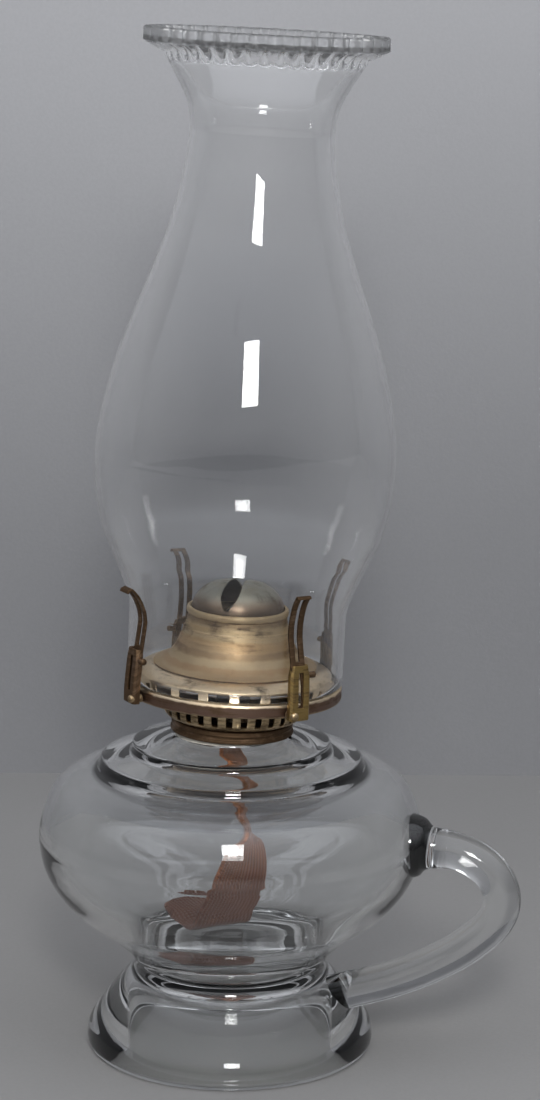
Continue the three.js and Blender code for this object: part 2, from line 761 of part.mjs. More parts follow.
function prongSide(tip) {
  const foot = [prongFootRadius - clipThickness, prongFloor];
  const clip = curveBetween([gripRadius, prongFloor], [foot[0], galleryFoot + gripHeight], clipShares, 8);
  const curl = curveBetween(
    [gripRadius, galleryFoot + gripHeight],
    [gripRadius + prongCurl, tip],
    curlShares, 6,
  );
  const face = [...clip, ...curl.slice(1)];
  const thickness = (h) => {
    const along = THREE.MathUtils.smoothstep(h, prongFloor + (1 - cornerShare) * clipHeight, prongFloor + clipHeight);
    return -THREE.MathUtils.lerp(clipThickness, legThickness, along);
  };
  const back = offsetOutline(face, thickness).reverse();
  const tab = [[deckRadius + seatGap, prongFloor + prongFootHeight], [deckRadius + seatGap, prongFloor]];
  const seat = [foot[0] + sheet, prongFloor + prongFootHeight];
  const strip = prism([...face, ...back], prongWidth, X, Z);
  return strip.add(prism([...tab, [seat[0], prongFloor], seat], prongWidth, X, Z));
}

function prongFront(tip) {
  const top = tip + legThickness;
  const knee = prongFloor + clipHeight;
  const [wide, slim] = [prongWidth / 2, legWidth / 2];
  const right = [[wide, prongFloor], [wide, knee], [slim, knee + slim], [slim, top - slim],
    [(1 - cornerShare) * slim, top - cornerShare * slim]];
  const left = right.map(([t, h]) => [-t, h]).reverse();
  const depth = 2 * (prongFootRadius + prongCurl);
  return prism([...right, ...left], depth, Y, Z);
}

function prong(name, azimuth, heightShare, rivetSide) {
  const tip = galleryFoot + heightShare * prongHeight;
  const reach = prongFootRadius + prongCurl + cutOverrun;
  const sill = prongFloor + prongFootHeight + sheet;
  const knee = prongFloor + clipHeight;
  const window = block(0, reach, -prongSlot / 2, prongSlot / 2, sill, knee - 2 * sheet);
  const gap = block(0, reach, -prongSlot / 2, prongSlot / 2, knee + sheet, tip - sheet);
  const studPlace = gripRadius + clipThickness;
  const stud = rod(studRadius, 0, prongWidth / 2 + studLength, studPlace, prongFloor + prongFootHeight + studRise,
    smallSides / 2);
  const blank = prongSide(tip).intersect(prongFront(tip)).add(stud);
  const stamped = blank.subtract(window).subtract(gap).subtract(rivetSolid(seatGap, rivetSide));
  const mesh = meshOf(name, stamped, darkBrass);
  mesh.rotation.z = azimuth;
  return mesh;
}

function rivetSolid(grown, side) {
  const start = deckRadius + seatGap;
  const shank = prongFootRadius - start + sheet;
  const headStart = start + shank;
  const profile = [
    [0, 0], [rivetRadius + grown, 0], [rivetRadius + grown, shank],
    [rivetHeadRadius, shank], [(1 - cornerShare) * rivetHeadRadius, shank + rivetHead], [0, shank + rivetHead],
  ];
  const low = prongFloor + prongFootHeight / 2;
  const body = revolve(profile, smallSides).rotate([0, 90, 0]);
  return body.translate([headStart - shank, side * rivetInset, low]);
}

function rivet(name, azimuth, side) {
  const mesh = meshOf(name, rivetSolid(0, side), brass);
  mesh.rotation.z = azimuth;
  return mesh;
}

// Chimney with a crimped crown

// The chimney's three curves, each as the number of steps on the outside and on the inside.
const chimneySteps = { outside: [5, 6, 4], inside: [4, 4, 3] };
const lowerBulbShares = [[0, 0], [0.05, 0.075], [0.27, 0.225], [0.53, 0.377], [0.77, 0.53], [0.97, 0.79], [1, 1]];
const upperBulbShares = [[1, 0], [0.97, 0.1], [0.84, 0.245], [0.652, 0.39], [0.363, 0.61], [0.163, 0.755],
  [0.048, 0.9], [0, 1]];
const flareShares = [[0, 0], [0.094, 0.31], [0.35, 0.586], [0.65, 0.845], [0.84, 0.94], [1, 1]];

function chimneyOutline([lowerSteps, upperSteps, flareSteps]) {
  const band = chimneyHeight - crownBand;
  const lower = curveBetween([fitterRadius, fitterHeight], [bulbRadius, bulbHeight], lowerBulbShares,
    lowerSteps);
  const upper = curveBetween([throatRadius, bulbHeight], [bulbRadius, throatHeight], upperBulbShares,
    upperSteps);
  const flare = curveBetween([throatRadius, throatHeight], [crownRadius, band], flareShares, flareSteps);
  return [[fitterRadius, 0], ...lower, ...upper.slice(1), ...flare.slice(1), [crownRadius, chimneyHeight]];
}

function chimneyRing(radius, height) {
  const crimp = THREE.MathUtils.smoothstep(height, chimneyHeight - crimpRun, chimneyHeight - crownBand);
  const count = crimp > 0 ? crimpCount * crimpSteps : glassSides;
  return Array.from({ length: count }, (_, i) => {
    const angle = (2 * Math.PI * i) / count;
    const reach = radius + crimpDepth * crimp * Math.cos(crimpCount * angle);
    return new THREE.Vector3(reach * Math.cos(angle), reach * Math.sin(angle), height);
  });
}

function chimney() {
  const outside = chimneyOutline(chimneySteps.outside);
  const inside = offsetOutline(chimneyOutline(chimneySteps.inside), chimneyWall).reverse();
  inside[0] = [crownRadius - chimneyWall, chimneyHeight];
  inside[inside.length - 1] = [fitterRadius - chimneyWall, 0];
  const rings = [...outside, ...inside].map(([r, h]) => chimneyRing(r, h));
  const mesh = meshOf('chimney', loft(rings, true), glass);
  mesh.position.z = galleryFoot;
  return mesh;
}

// Assembly

const burner = new THREE.Group();
burner.applyMatrix4(leanMatrix);
burner.add(collar(), collarCement(), burnerBase(), airBasket(), airScreen(), deck(), gallery(), draftCone());
burner.add(flameDome(), wickTube(), raiserBracket(), wickShaft(), thumbwheel(), wick(), chimney());
burner.add(spurWheel('spur_wheel_front', -1), spurWheel('spur_wheel_back', 1));
const prongNames = ['back_right', 'back_left', 'front_left', 'front_right'];
const prongStrays = [0, 0, 0, frontRightStray];
const prongHeightShares = [1, 0.95, 0.93, 1.03];
const rivetSides = [-1, 1, 1, -1];
for (let i = 0; i < prongCount; i += 1) {
  const azimuth = firstProngAzimuth + (2 * Math.PI * i) / prongCount + prongStrays[i];
  burner.add(prong(`prong_${prongNames[i]}`, azimuth, prongHeightShares[i], rivetSides[i]));
  burner.add(rivet(`prong_rivet_${prongNames[i]}`, azimuth, rivetSides[i]));
}

const lamp = new THREE.Group();
lamp.add(glassFont(), burner);

// The origin is the middle of the lamp's box, on the surface that it stands on.
const bounds = new THREE.Box3().setFromObject(lamp, true);
const middle = bounds.getCenter(new THREE.Vector3());
lamp.position.set(-middle.x, -middle.y, -bounds.min.z);

export default lamp;
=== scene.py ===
"""Finger lamp: the looks of a pressed glass oil lamp with a ring handle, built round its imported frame.

Lengths are metres in the frame's own axes. The glass font stands upright about its own axis. The
collar sits a little crooked on the neck, so the burner, the wick and the chimney are worked out
about an upright axis of their own, with heights from the font's shoulder, and are then leaned.
"""

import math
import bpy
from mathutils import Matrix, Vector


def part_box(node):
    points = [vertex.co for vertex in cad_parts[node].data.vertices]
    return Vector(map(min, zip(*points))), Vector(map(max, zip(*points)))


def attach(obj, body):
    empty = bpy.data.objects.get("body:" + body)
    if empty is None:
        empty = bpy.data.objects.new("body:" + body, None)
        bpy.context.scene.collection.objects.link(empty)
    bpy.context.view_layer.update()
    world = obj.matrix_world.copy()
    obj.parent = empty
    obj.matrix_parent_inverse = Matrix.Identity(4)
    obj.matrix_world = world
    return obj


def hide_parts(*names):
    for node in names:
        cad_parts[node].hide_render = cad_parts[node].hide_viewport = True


bl_info = {
    "name": "Finger lamp",
    "version": (1, 0, 0),
    "blender": (4, 5, 0),
    "location": "3D View > Sidebar > Finger lamp",
    "description": "Glass, brass, wick and studio of a finger lamp with a ring handle",
    "category": "Object",
}

import bmesh
import bpy
import numpy as np
from bpy.props import FloatProperty, FloatVectorProperty, IntProperty, PointerProperty
from mathutils import Matrix, Vector

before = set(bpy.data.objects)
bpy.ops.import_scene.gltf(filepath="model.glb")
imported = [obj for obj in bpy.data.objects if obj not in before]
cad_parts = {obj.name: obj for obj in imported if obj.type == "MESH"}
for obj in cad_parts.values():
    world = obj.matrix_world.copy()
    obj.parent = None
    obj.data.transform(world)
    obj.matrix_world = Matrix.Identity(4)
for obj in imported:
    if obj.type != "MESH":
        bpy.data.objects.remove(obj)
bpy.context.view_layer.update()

CAD_BOWL_RADIUS = 0.0664
LAMP_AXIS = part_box("glass_font")[0].x + CAD_BOWL_RADIUS
SHOULDER_HEIGHT = 0.112
SEAM = 0.0003
SHEET = 0.0008
PIERCED_SHEET = 0.0007
THIN_SHEET = 0.0006
EASED_EDGE = 0.00012
SAME_PLACE = 1e-7
NO_LENGTH = 1e-8


# Sizes and colours


def length(name, description, default):
    return FloatProperty(
        name=name, description=description, default=default, min=0, unit="LENGTH", precision=4
    )


def how_many(name, description, default):
    return IntProperty(name=name, description=description, default=default, min=8)


def angle_size(name, description, degrees):
    return FloatProperty(name=name, description=description, default=math.radians(degrees), subtype="ANGLE")


def colour(name, description, default):
    return FloatVectorProperty(
        name=name, description=description, default=default, size=3, min=0, max=1, subtype="COLOR"
    )


class FontSizes(bpy.types.PropertyGroup):
    foot_radius: length("Foot radius", "Radius of the foot at its widest", 0.0502)
    rest_width: length("Rest width", "Width of the flat ring that the foot stands on", 0.0084)
    hollow_height: length("Hollow height", "Height of the hollow under the foot", 0.0258)
    waist_radius: length("Waist radius", "Radius where foot and bowl meet", 0.0332)
    waist_height: length("Waist height", "Height where foot and bowl meet", 0.0305)
    bowl_radius: length("Bowl radius", "Radius of the bowl at its widest", 0.0668)
    bowl_height: length("Bowl height", "Height of the widest part of the bowl", 0.0755)
    wall: length("Wall", "Thickness of the pressed glass", 0.0036)
    floor_height: length("Floor height", "Height of the bowl's floor inside", 0.0295)
    shoulder_radius: length("Shoulder radius", "Radius at the top of the shoulder", 0.02)
    neck_radius: length("Neck radius", "Radius of the neck inside the collar", 0.0186)
    neck_rise: length("Neck rise", "Height of the neck above the shoulder", 0.0033)
    ring_reach: length("Ring reach", "Distance of the ring handle's centre line from the axis", 0.096)
    ring_top: length("Ring top", "Height at which the ring leaves the bowl", 0.0768)
    ring_foot: length("Ring foot", "Height at which the ring meets the foot", 0.0195)
    ring_thickness: length("Ring thickness", "Thickness of the ring handle", 0.013)
    ring_swell: FloatProperty(name="Ring swell", description="How much thicker the ring is at the bowl",
                              default=1.7, min=1, max=3)


class BurnerSizes(bpy.types.PropertyGroup):
    lean: angle_size("Lean", "How far the collar and all above it lean", 2.5)
    lean_azimuth: angle_size("Lean direction", "Direction of the lean about the axis", 15)
    collar_radius: length("Collar radius", "Radius of the collar", 0.0208)
    collar_height: length("Collar height", "Height of the collar's top above the shoulder", 0.0054)
    basket_radius: length("Basket radius", "Radius of the slotted basket at its top", 0.0236)
    rim_drop: length("Rim drop", "How far the deck's rim hangs down", 0.0048)
    basket_slots: how_many("Basket slots", "Number of slots in the basket", 30)
    deck_radius: length("Deck radius", "Radius of the deck's rim", 0.0372)
    deck_height: length("Deck height", "Height of the deck's top above the shoulder", 0.0194)
    gallery_radius: length("Gallery radius", "Radius of the ring of windows", 0.0335)
    windows: how_many("Windows", "Number of windows under the cone", 20)
    cone_base: length("Cone base", "Radius of the draft cone at its foot", 0.0282)
    cone_shoulder: length("Cone shoulder", "Radius of the draft cone above its flare", 0.0194)
    cone_mouth: length("Cone mouth", "Radius of the draft cone at its mouth", 0.0169)
    cone_height: length("Cone height", "Height of the draft cone", 0.02)
    dome_rise: length("Dome rise", "Height of the dome above the cone's mouth", 0.0095)
    dome_slot: length("Dome slot", "Length of the slot in the dome", 0.0313)
    thumbwheel_radius: length("Thumbwheel radius", "Radius of the milled thumbwheel", 0.009)
    prong_height: length("Prong height", "Height of the back prongs above the deck", 0.038)
    prong_curl: length("Prong curl", "How far the prongs curl outwards", 0.0068)
    prong_width: length("Prong width", "Width of the clip at each prong's foot", 0.0077)
    leg_width: length("Leg width", "Width over both legs of a prong", 0.0056)


class ChimneySizes(bpy.types.PropertyGroup):
    height: length("Height", "Height of the chimney", 0.22)
    wall: length("Wall", "Thickness of the blown glass", 0.0016)
    fitter_radius: length("Fitter radius", "Radius of the foot that stands in the prongs", 0.0372)
    fitter_height: length("Fitter height", "Height of the straight foot", 0.024)
    bulb_radius: length("Bulb radius", "Radius of the bulb", 0.0511)
    bulb_height: length("Bulb height", "Height of the widest part of the bulb", 0.077)
    throat_radius: length("Throat radius", "Radius of the throat", 0.0241)
    throat_height: length("Throat height", "Height of the throat", 0.187)
    crown_radius: length("Crown radius", "Radius of the flared top", 0.0392)
    crown_band: length("Crown band", "Height of the crimped band", 0.0045)
    crimps: how_many("Crimps", "Number of crimps round the top", 40)
    crimp_depth: length("Crimp depth", "Depth of each crimp", 0.0018)
    crown_swell: length("Crown swell", "How much thicker the glass is below the crimped band", 0.0012)


class WickSizes(bpy.types.PropertyGroup):
    width: length("Width", "Width of the flat wick", 0.0254)
    thickness: length("Thickness", "Thickness of the flat wick", 0.0026)
    top: length("Top", "Height of the wick's end above the shoulder", 0.046)
    drop: length("Drop", "How far the wick hangs below the shoulder", 0.0782)
    straight: length("Straight run", "How far the wick hangs straight below its tube", 0.0086)
    tail: length("Tail", "Length of the end that lies towards the floor", 0.019)
    tail_rise: length("Tail rise", "How far that end rises towards its tip", 0.0055)
    sway: length("Sway", "How far the hanging wick swings sideways", 0.0066)
    twist: angle_size("Twist", "How far the hanging wick turns", -42)


class LampColours(bpy.types.PropertyGroup):
    font_glass: colour("Font glass", "Tint of the pressed glass", (0.985, 0.992, 0.988))
    chimney_glass: colour("Chimney glass", "Tint of the blown glass", (0.995, 0.997, 0.996))
    cone_brass: colour("Cone brass", "Spun brass of the draft cone", (0.64, 0.495, 0.3))
    # Also painted on the deck's rim crest and top, as a painted highlight and painted light on the lit top.
    bright_brass: colour("Bright brass", "Pierced brass that has kept its shine", (0.76, 0.62, 0.43))
    # Also painted at the foot of the cone's bead, as painted shade.
    cone_brown: colour("Cone brown", "Brown rings on the draft cone", (0.2, 0.125, 0.07))
    cone_orange: colour("Cone orange", "Orange rings on the draft cone", (0.46, 0.25, 0.1))
    deck_brown: colour("Deck brown", "Mauve brown film on the deck's rim", (0.2, 0.13, 0.1))
    worn_brass: colour("Worn brass", "Worn brass of deck and gallery", (0.58, 0.45, 0.28))
    dark_brass: colour("Dark brass", "Tarnished brass of collar and prongs", (0.24, 0.16, 0.105))
    olive_brass: colour("Olive brass", "Brass of the clip that is rubbed olive", (0.348, 0.248, 0.09975))
    film: colour("Film", "Brown film that old brass takes on", (0.09, 0.055, 0.03))
    dome_metal: colour("Dome metal", "Dull grey plating of the dome", (0.3, 0.295, 0.25))
    dome_heat: colour("Dome heat", "Brown that heat left on the dome's foot", (0.2, 0.135, 0.09))
    plaster: colour("Plaster", "Plaster under the collar", (0.62, 0.58, 0.5))
    wick_cotton: colour("Wick cotton", "Cotton stained by oil", (0.33, 0.115, 0.04))
    wick_dark: colour("Wick dark", "Cotton soaked dark at its lower end", (0.11, 0.036, 0.018))
    wick_char: colour("Wick char", "Burnt end of the wick", (0.015, 0.012, 0.01))


class StageSettings(bpy.types.PropertyGroup):
    distance: length("Camera distance", "Distance of the camera from the lamp's axis", 1.0)
    camera_height: length("Camera height", "Height of the camera above the floor", 0.3797)
    azimuth: angle_size("Azimuth", "Direction of the camera round the lamp", 15)
    pitch: angle_size("Pitch", "How far the camera looks down", 11.48)
    yaw: angle_size("Yaw", "How far the camera is turned to the right", 0.73)
    roll: angle_size("Roll", "How far the camera is tipped over", 0.5)
    lens: FloatProperty(name="Lens", description="Focal length for a 36 mm long side, in millimetres",
                        default=97.66, min=10)
    wall_distance: length("Wall distance", "Distance of the backdrop behind the lamp", 0.345)
    floor_colour: colour("Floor colour", "Colour of the floor", (0.25, 0.245, 0.238))
    wall_colour: colour("Wall colour", "Colour of the backdrop behind the font", (0.25, 0.25, 0.256))
    # Painted light: the backdrop is painted lighter higher up, where more light falls on it.
    wall_top_painted_light_colour: colour("Wall top colour", "Colour of the backdrop higher up", (0.5, 0.5, 0.512))


# Shapes as arrays


def curve_through(points, count):
    """A smooth open curve: between two neighbouring points it is the cubic whose slope at each of
    them is half the step from the point before it to the point after it."""
    p = np.asarray(points, float)
    t = np.linspace(0, len(p) - 1, count)
    i = np.minimum(t.astype(int), len(p) - 2)
    f = (t - i)[:, None]
    a, b, c, d = p[np.maximum(i - 1, 0)], p[i], p[i + 1], p[np.minimum(i + 2, len(p) - 1)]
    return 0.5 * (2 * b + (c - a) * f + (2 * a - 5 * b + 4 * c - d) * f**2 + (3 * b - a - 3 * c + d) * f**3)


def stretched(shares, low, high, count):
    """The curve through share pairs, laid between two (radius, height) corners."""
    low, high = np.array(low, float), np.array(high, float)
    return low + curve_through(shares, count) * (high - low)


def rounded(outline, radius, steps=3):
    """A closed outline whose corners are eased: each corner becomes a quadratic curve that starts
    and ends the given radius before and after it, or just short of half its side where that is
    less."""
    p = np.asarray(outline, float)
    before, after = np.roll(p, 1, 0) - p, np.roll(p, -1, 0) - p
    ease = []
    for side in (before, after):
        size = np.linalg.norm(side, axis=1, keepdims=True)
        ease.append(p + side / size * np.minimum(radius, 0.48 * size))
    t = np.linspace(0, 1, steps + 1)[None, :, None]
    start, end = ease[0][:, None], ease[1][:, None]
    return ((1 - t) ** 2 * start + 2 * t * (1 - t) * p[:, None] + t**2 * end).reshape(-1, 2)


def unit(vectors):
    return vectors / np.linalg.norm(vectors, axis=-1, keepdims=True)


def moved_sideways(curve, amount):
    """An open curve moved along its own normal, to the left of its direction."""
    slope = unit(np.gradient(np.asarray(curve, float), axis=0))
    return curve + np.stack([-slope[:, 1], slope[:, 0]], 1) * np.reshape(amount, (-1, 1))


def grid(x, y, z):
    """Rows by columns of points. Each coordinate is given by row, by column or by both."""
    return np.stack(np.broadcast_arrays(x, y, z), 2)


def turned(outline, angles, reach=0):
    """Turns (radius, height) pairs about the upright axis: x = r cos a, y = r sin a. reach, which
    may be an array of rows by columns, is added to the radius."""
    outline = np.asarray(outline, float)
    radius = outline[:, :1] + reach
    return grid(radius * np.cos(angles), radius * np.sin(angles), outline[:, 1:])


def around(sides):
    return np.arange(sides) * (2 * np.pi / sides)


def between(values):
    """The middle of each two neighbouring values."""
    return (values[:-1] + values[1:]) / 2


def skin(points, rows_close=False, columns_close=True, kept=None):
    """Vertices and four-sided faces of a grid of points. kept marks the cells that have a face."""
    rows, columns = points.shape[:2]
    index = np.arange(rows * columns).reshape(rows, columns)
    index = np.concatenate([index, index[:1]], 0) if rows_close else index
    index = np.concatenate([index, index[:, :1]], 1) if columns_close else index
    faces = np.stack([index[:-1, :-1], index[:-1, 1:], index[1:, 1:], index[1:, :-1]], 2)
    faces = faces[kept] if kept is not None else faces.reshape(-1, 4)
    return points.reshape(-1, 3), faces


def lathe(outline, sides):
    """A closed (radius, height) outline turned about the upright axis."""
    return skin(turned(outline, around(sides)), rows_close=True)


def capped(path, rings):
    """Rings of points along a path, with both ends closed onto the path's own ends."""
    ends = [np.repeat(path[i][None, None], rings.shape[1], 1) for i in (0, -1)]
    return np.concatenate([ends[0], rings, ends[1]])


def tube(path, across, half, sides):
    """Circles of radius half carried along a path and closed at both ends: each point is the path's
    point plus the two directions square to the path, weighed by the cosine and sine of the angle."""
    out = np.cross(across, unit(np.gradient(path, axis=0)))
    angle = around(sides)[None, :, None]
    ring = out[:, None] * np.cos(angle) + across * np.sin(angle)
    return skin(capped(path, path[:, None] + half[:, None, None] * ring))


def bar(start, end, radius, dome, sides=24):
    """A round bar between two points, with a flat start and an end that bulges by dome."""
    start, end = np.array(start, float), np.array(end, float)
    long = np.linalg.norm(end - start)
    along = unit(end - start)
    side = unit(np.cross(along, [0.0, 0.0, 1.0]))
    turn = np.linspace(0, np.pi / 2, 5)
    reach = np.concatenate([[0, 1, 1], np.cos(turn)]) * radius
    place = np.concatenate([[0, 0, 1], 1 + np.sin(turn) * dome / long])
    path = start + (end - start) * place[:, None]
    angle = around(sides)[None, :, None]
    ring = side * np.cos(angle) + np.cross(along, side) * np.sin(angle)
    return skin(path[:, None] + reach[:, None, None] * ring)


# From arrays to pieces


def lean_matrix():
    """The turn that leans an upright axis towards the lean's azimuth, as three rows."""
    sizes = bpy.context.scene.lamp_burner
    flat = (-math.sin(sizes.lean_azimuth), math.cos(sizes.lean_azimuth), 0)
    return np.array(Matrix.Rotation(sizes.lean, 3, Vector(flat)))


def leaned(shape):
    """A shape about the upright axis of the burner, leaned and set on the font's shoulder."""
    points, faces = shape
    return points @ lean_matrix().T + (LAMP_AXIS, 0, SHOULDER_HEIGHT), faces


def upright(shape):
    """A shape about the font's axis, set where the font stands."""
    points, faces = shape
    return points + (LAMP_AXIS, 0, 0), faces


def volume(points, faces):
    a, b, c, d = (points[faces[:, i]] for i in range(4))
    first = np.einsum("ij,ij->i", a, np.cross(b, c)).sum()
    return first + np.einsum("ij,ij->i", a, np.cross(c, d)).sum()


def linked(name, data):
    """A new object with the given data, in the scene's collection."""
    obj = bpy.data.objects.new(name, data)
    bpy.context.scene.collection.objects.link(obj)
    return obj


def plain_object(name, shape):
    """An object with the shape's mesh, its doubled points merged and its faces outwards."""
    points, faces = shape
    if volume(points, faces) < 0:
        faces = faces[:, ::-1]
    mesh = bpy.data.meshes.new(name)
    mesh.from_pydata(points.tolist(), [], faces.tolist())
    bm = bmesh.new()
    bm.from_mesh(mesh)
    bmesh.ops.remove_doubles(bm, verts=bm.verts, dist=SAME_PLACE)
    bmesh.ops.dissolve_degenerate(bm, edges=bm.edges, dist=NO_LENGTH)
    bm.to_mesh(mesh)
    bm.free()
    return linked(name, mesh)


def leaned_object(name, shape):
    return plain_object(name, leaned(shape))


def leaned_ring(name, outline, ease, sides):
    """A leaned object turned from a closed (radius, height) outline whose corners are eased."""
    return leaned_object(name, lathe(rounded(outline, ease), sides))


def settle(obj):
    """Applies the object's modifiers to its mesh."""
    bpy.context.view_layer.update()
    graph = bpy.context.evaluated_depsgraph_get()
    mesh = bpy.data.meshes.new_from_object(obj.evaluated_get(graph))
    obj.modifiers.clear()
    old, obj.data = obj.data, mesh
    bpy.data.meshes.remove(old)
    mesh.name = obj.name
    return obj


def carve(obj, tools):
    """Joins or cuts the object with others, given as (object, operation), and removes them."""
    for tool, operation in tools:
        step = obj.modifiers.new(tool.name, "BOOLEAN")
        step.object, step.operation, step.solver = tool, operation, "EXACT"
    settle(obj)
    discard(tool for tool, _ in tools)
    return obj


def discard(objects):
    for obj in objects:
        mesh = obj.data
        bpy.data.objects.remove(obj)
        bpy.data.meshes.remove(mesh)


def thicken(obj, thickness, rim=EASED_EDGE):
    """Gives an open sheet a wall on its inner side, with edges eased by rim."""
    wall = obj.modifiers.new("Wall", "SOLIDIFY")
    wall.thickness, wall.offset, wall.use_even_offset = thickness, -1, False
    edge = obj.modifiers.new("Eased edges", "BEVEL")
    edge.width, edge.segments = rim, 2
    edge.limit_method, edge.angle_limit = "ANGLE", math.radians(50)
    return settle(obj)


def finish_piece(obj, material, body, nodes=(), sharp=40):
    """Smooth shading with sharp corners, the material, and the piece's place in the frame."""
    obj.data.shade_smooth()
    obj.data.set_sharp_from_angle(angle=math.radians(sharp))
    obj.data.materials.clear()
    obj.data.materials.append(material)
    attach(obj, body)
    if nodes:
        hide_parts(*nodes)
    return obj


def dress(node, material):
    """Gives a carried-over CAD node its material."""
    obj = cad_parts[node]
    obj.data.materials.clear()
    obj.data.materials.append(material)


# Shader building


def fill(tree, item, inputs):
    """Sets a node's inputs: a socket is linked to the input, and a value is written on it."""
    for key, value in inputs.items():
        if isinstance(value, bpy.types.NodeSocket):
            tree.links.new(value, item.inputs[key])
        else:
            item.inputs[key].default_value = value


def add(tree, kind, inputs=None, **settings):
    item = tree.nodes.new(kind)
    for key, value in settings.items():
        setattr(item, key, value)
    fill(tree, item, inputs or {})
    return item


def maths(tree, operation, *values, clamp=False):
    inputs = dict(enumerate(values))
    return add(tree, "ShaderNodeMath", inputs, operation=operation, use_clamp=clamp).outputs[0]


def plus(tree, first, second):
    return maths(tree, "ADD", first, second)


def times(tree, first, second):
    return maths(tree, "MULTIPLY", first, second)


def ramp(tree, value, low, high, start=0.0, end=1.0):
    """A smooth step of a value from low to high."""
    inputs = {"Value": value, "From Min": low, "From Max": high, "To Min": start, "To Max": end}
    return add(tree, "ShaderNodeMapRange", inputs, interpolation_type="SMOOTHSTEP").outputs[0]


def noise(tree, place, scale, detail=3.0, roughness=0.5):
    """Blotches, about as many in each metre as scale says."""
    inputs = {"Vector": place, "Scale": scale, "Detail": detail, "Roughness": roughness}
    return add(tree, "ShaderNodeTexNoise", inputs).outputs["Fac"]


def blend_colour(tree, share, first, second, kind="MIX"):
    mix = add(tree, "ShaderNodeMix", data_type="RGBA", blend_type=kind)
    pair = [c if isinstance(c, bpy.types.NodeSocket) else (*c[:3], 1) for c in (first, second)]
    fill(tree, mix, {0: share, 6: pair[0], 7: pair[1]})
    return mix.outputs[2]


def shaded(tone, share):
    """A colour made darker or lighter by a share, up to white."""
    return [min(1, part * share) for part in tone]


def group_with(name, inputs, outputs):
    """A shader node group, what it is given and its output node. Inputs are (name, kind, default)
    and outputs (name, kind)."""
    group = bpy.data.node_groups.new(name, "ShaderNodeTree")
    for label, kind, default in inputs:
        socket = group.interface.new_socket(label, in_out="INPUT", socket_type=kind)
        if default is not None:
            socket.default_value = default
    for label, kind in outputs:
        group.interface.new_socket(label, in_out="OUTPUT", socket_type=kind)
    return group, group.nodes.new("NodeGroupInput").outputs, group.nodes.new("NodeGroupOutput")


def old_brass_group():
    """Old brass: turning marks run round the axis, a brown film lies in blotches and streaks, and
    fine specks sit on both. Place is measured from the piece's own axis, +Z along it."""
    name = "Old brass"
    if name in bpy.data.node_groups:
        return bpy.data.node_groups[name]
    tone, number = "NodeSocketColor", "NodeSocketFloat"
    group, given, made = group_with(name, [
        ("Place", "NodeSocketVector", None), ("Bright", tone, (0.6, 0.45, 0.27, 1)),
        ("Film", tone, (0.09, 0.055, 0.03, 1)), ("Film amount", number, 0.4), ("Polish", number, 0.28),
        ("Line amount", number, 0.5), ("Blotch scale", number, 90.0), ("Line scale", number, 900.0),
    ], [("Color", tone), ("Roughness", number), ("Height", number)])
    x, y, z = add(group, "ShaderNodeSeparateXYZ", {0: given["Place"]}).outputs
    angle = maths(group, "ARCTAN2", y, x)
    radius = maths(group, "SQRT", plus(group, times(group, x, x), times(group, y, y)))
    along = plus(group, z, times(group, radius, 0.8))

    def drawn_round(stretch):
        """A place that changes little round the axis, so that a noise runs out into rings."""
        return add(group, "ShaderNodeCombineXYZ", {0: times(group, angle, stretch), 2: along}).outputs[0]

    lines = noise(group, drawn_round(0.0012), given["Line scale"], 4.0, 0.6)
    streaks = noise(group, drawn_round(0.003), times(group, given["Blotch scale"], 6.0), 5.0, 0.65)
    blotches = noise(group, given["Place"], given["Blotch scale"], 6.0, 0.65)
    specks = noise(group, given["Place"], 2600.0, 2.0)
    cover = plus(group, times(group, blotches, 0.5), times(group, streaks, 0.5))
    edge = maths(group, "SUBTRACT", 0.74, times(group, given["Film amount"], 0.5))
    film = ramp(group, cover, maths(group, "SUBTRACT", edge, 0.09), plus(group, edge, 0.09))
    spots = times(group, ramp(group, specks, 0.6, 0.72), 0.35)
    film = maths(group, "MAXIMUM", film, spots, clamp=True)
    worn = ramp(group, lines, 0.3, 0.7, 0.0, 0.6)
    warm = blend_colour(group, worn, given["Bright"], (1.0, 0.9, 0.74), "MULTIPLY")
    rough = plus(group, given["Polish"], times(group, film, 0.3))
    fill(group, made, {
        "Color": blend_colour(group, times(group, film, 0.86), warm, given["Film"]),
        "Roughness": plus(group, rough, times(group, lines, 0.1)),
        "Height": plus(group, times(group, lines, given["Line amount"]), times(group, blotches, 0.25)),
    })
    return group


def glass_marks_group():
    """Marks of use on glass: a thin haze in smudges for the roughness, and the slow waves that
    pressing or blowing leaves, as a height."""
    name = "Glass marks"
    if name in bpy.data.node_groups:
        return bpy.data.node_groups[name]
    number = "NodeSocketFloat"
    group, given, made = group_with(name, [
        ("Place", "NodeSocketVector", None), ("Wave scale", number, 30.0), ("Haze", number, 0.05),
    ], [("Roughness", number), ("Height", number)])
    smudges = ramp(group, noise(group, given["Place"], 45.0, 5.0, 0.6), 0.5, 0.75)
    fill(group, made, {
        "Roughness": times(group, smudges, given["Haze"]),
        "Height": noise(group, given["Place"], given["Wave scale"], 1.0),
    })
    return group


def new_material(name):
    material = bpy.data.materials.new(name)
    material.use_nodes = True
    tree = material.node_tree
    shader = tree.nodes["Principled BSDF"]
    return material, tree, shader


def object_place(tree):
    return add(tree, "ShaderNodeTexCoord").outputs["Object"]


def burner_place(tree):
    """Object coordinates turned and moved so that the leaning axis is +Z through the origin."""
    turn = Matrix(lean_matrix().tolist()).transposed()
    pivot = turn @ Vector((LAMP_AXIS, 0, SHOULDER_HEIGHT))
    inputs = {"Vector": object_place(tree), "Rotation": turn.to_euler(), "Location": -pivot}
    return add(tree, "ShaderNodeMapping", inputs).outputs[0]


def height_of(tree, place):
    return add(tree, "ShaderNodeSeparateXYZ", {0: place}).outputs[2]


def bump(tree, height, strength, distance):
    inputs = {"Height": height, "Strength": strength, "Distance": distance}
    return add(tree, "ShaderNodeBump", inputs).outputs[0]


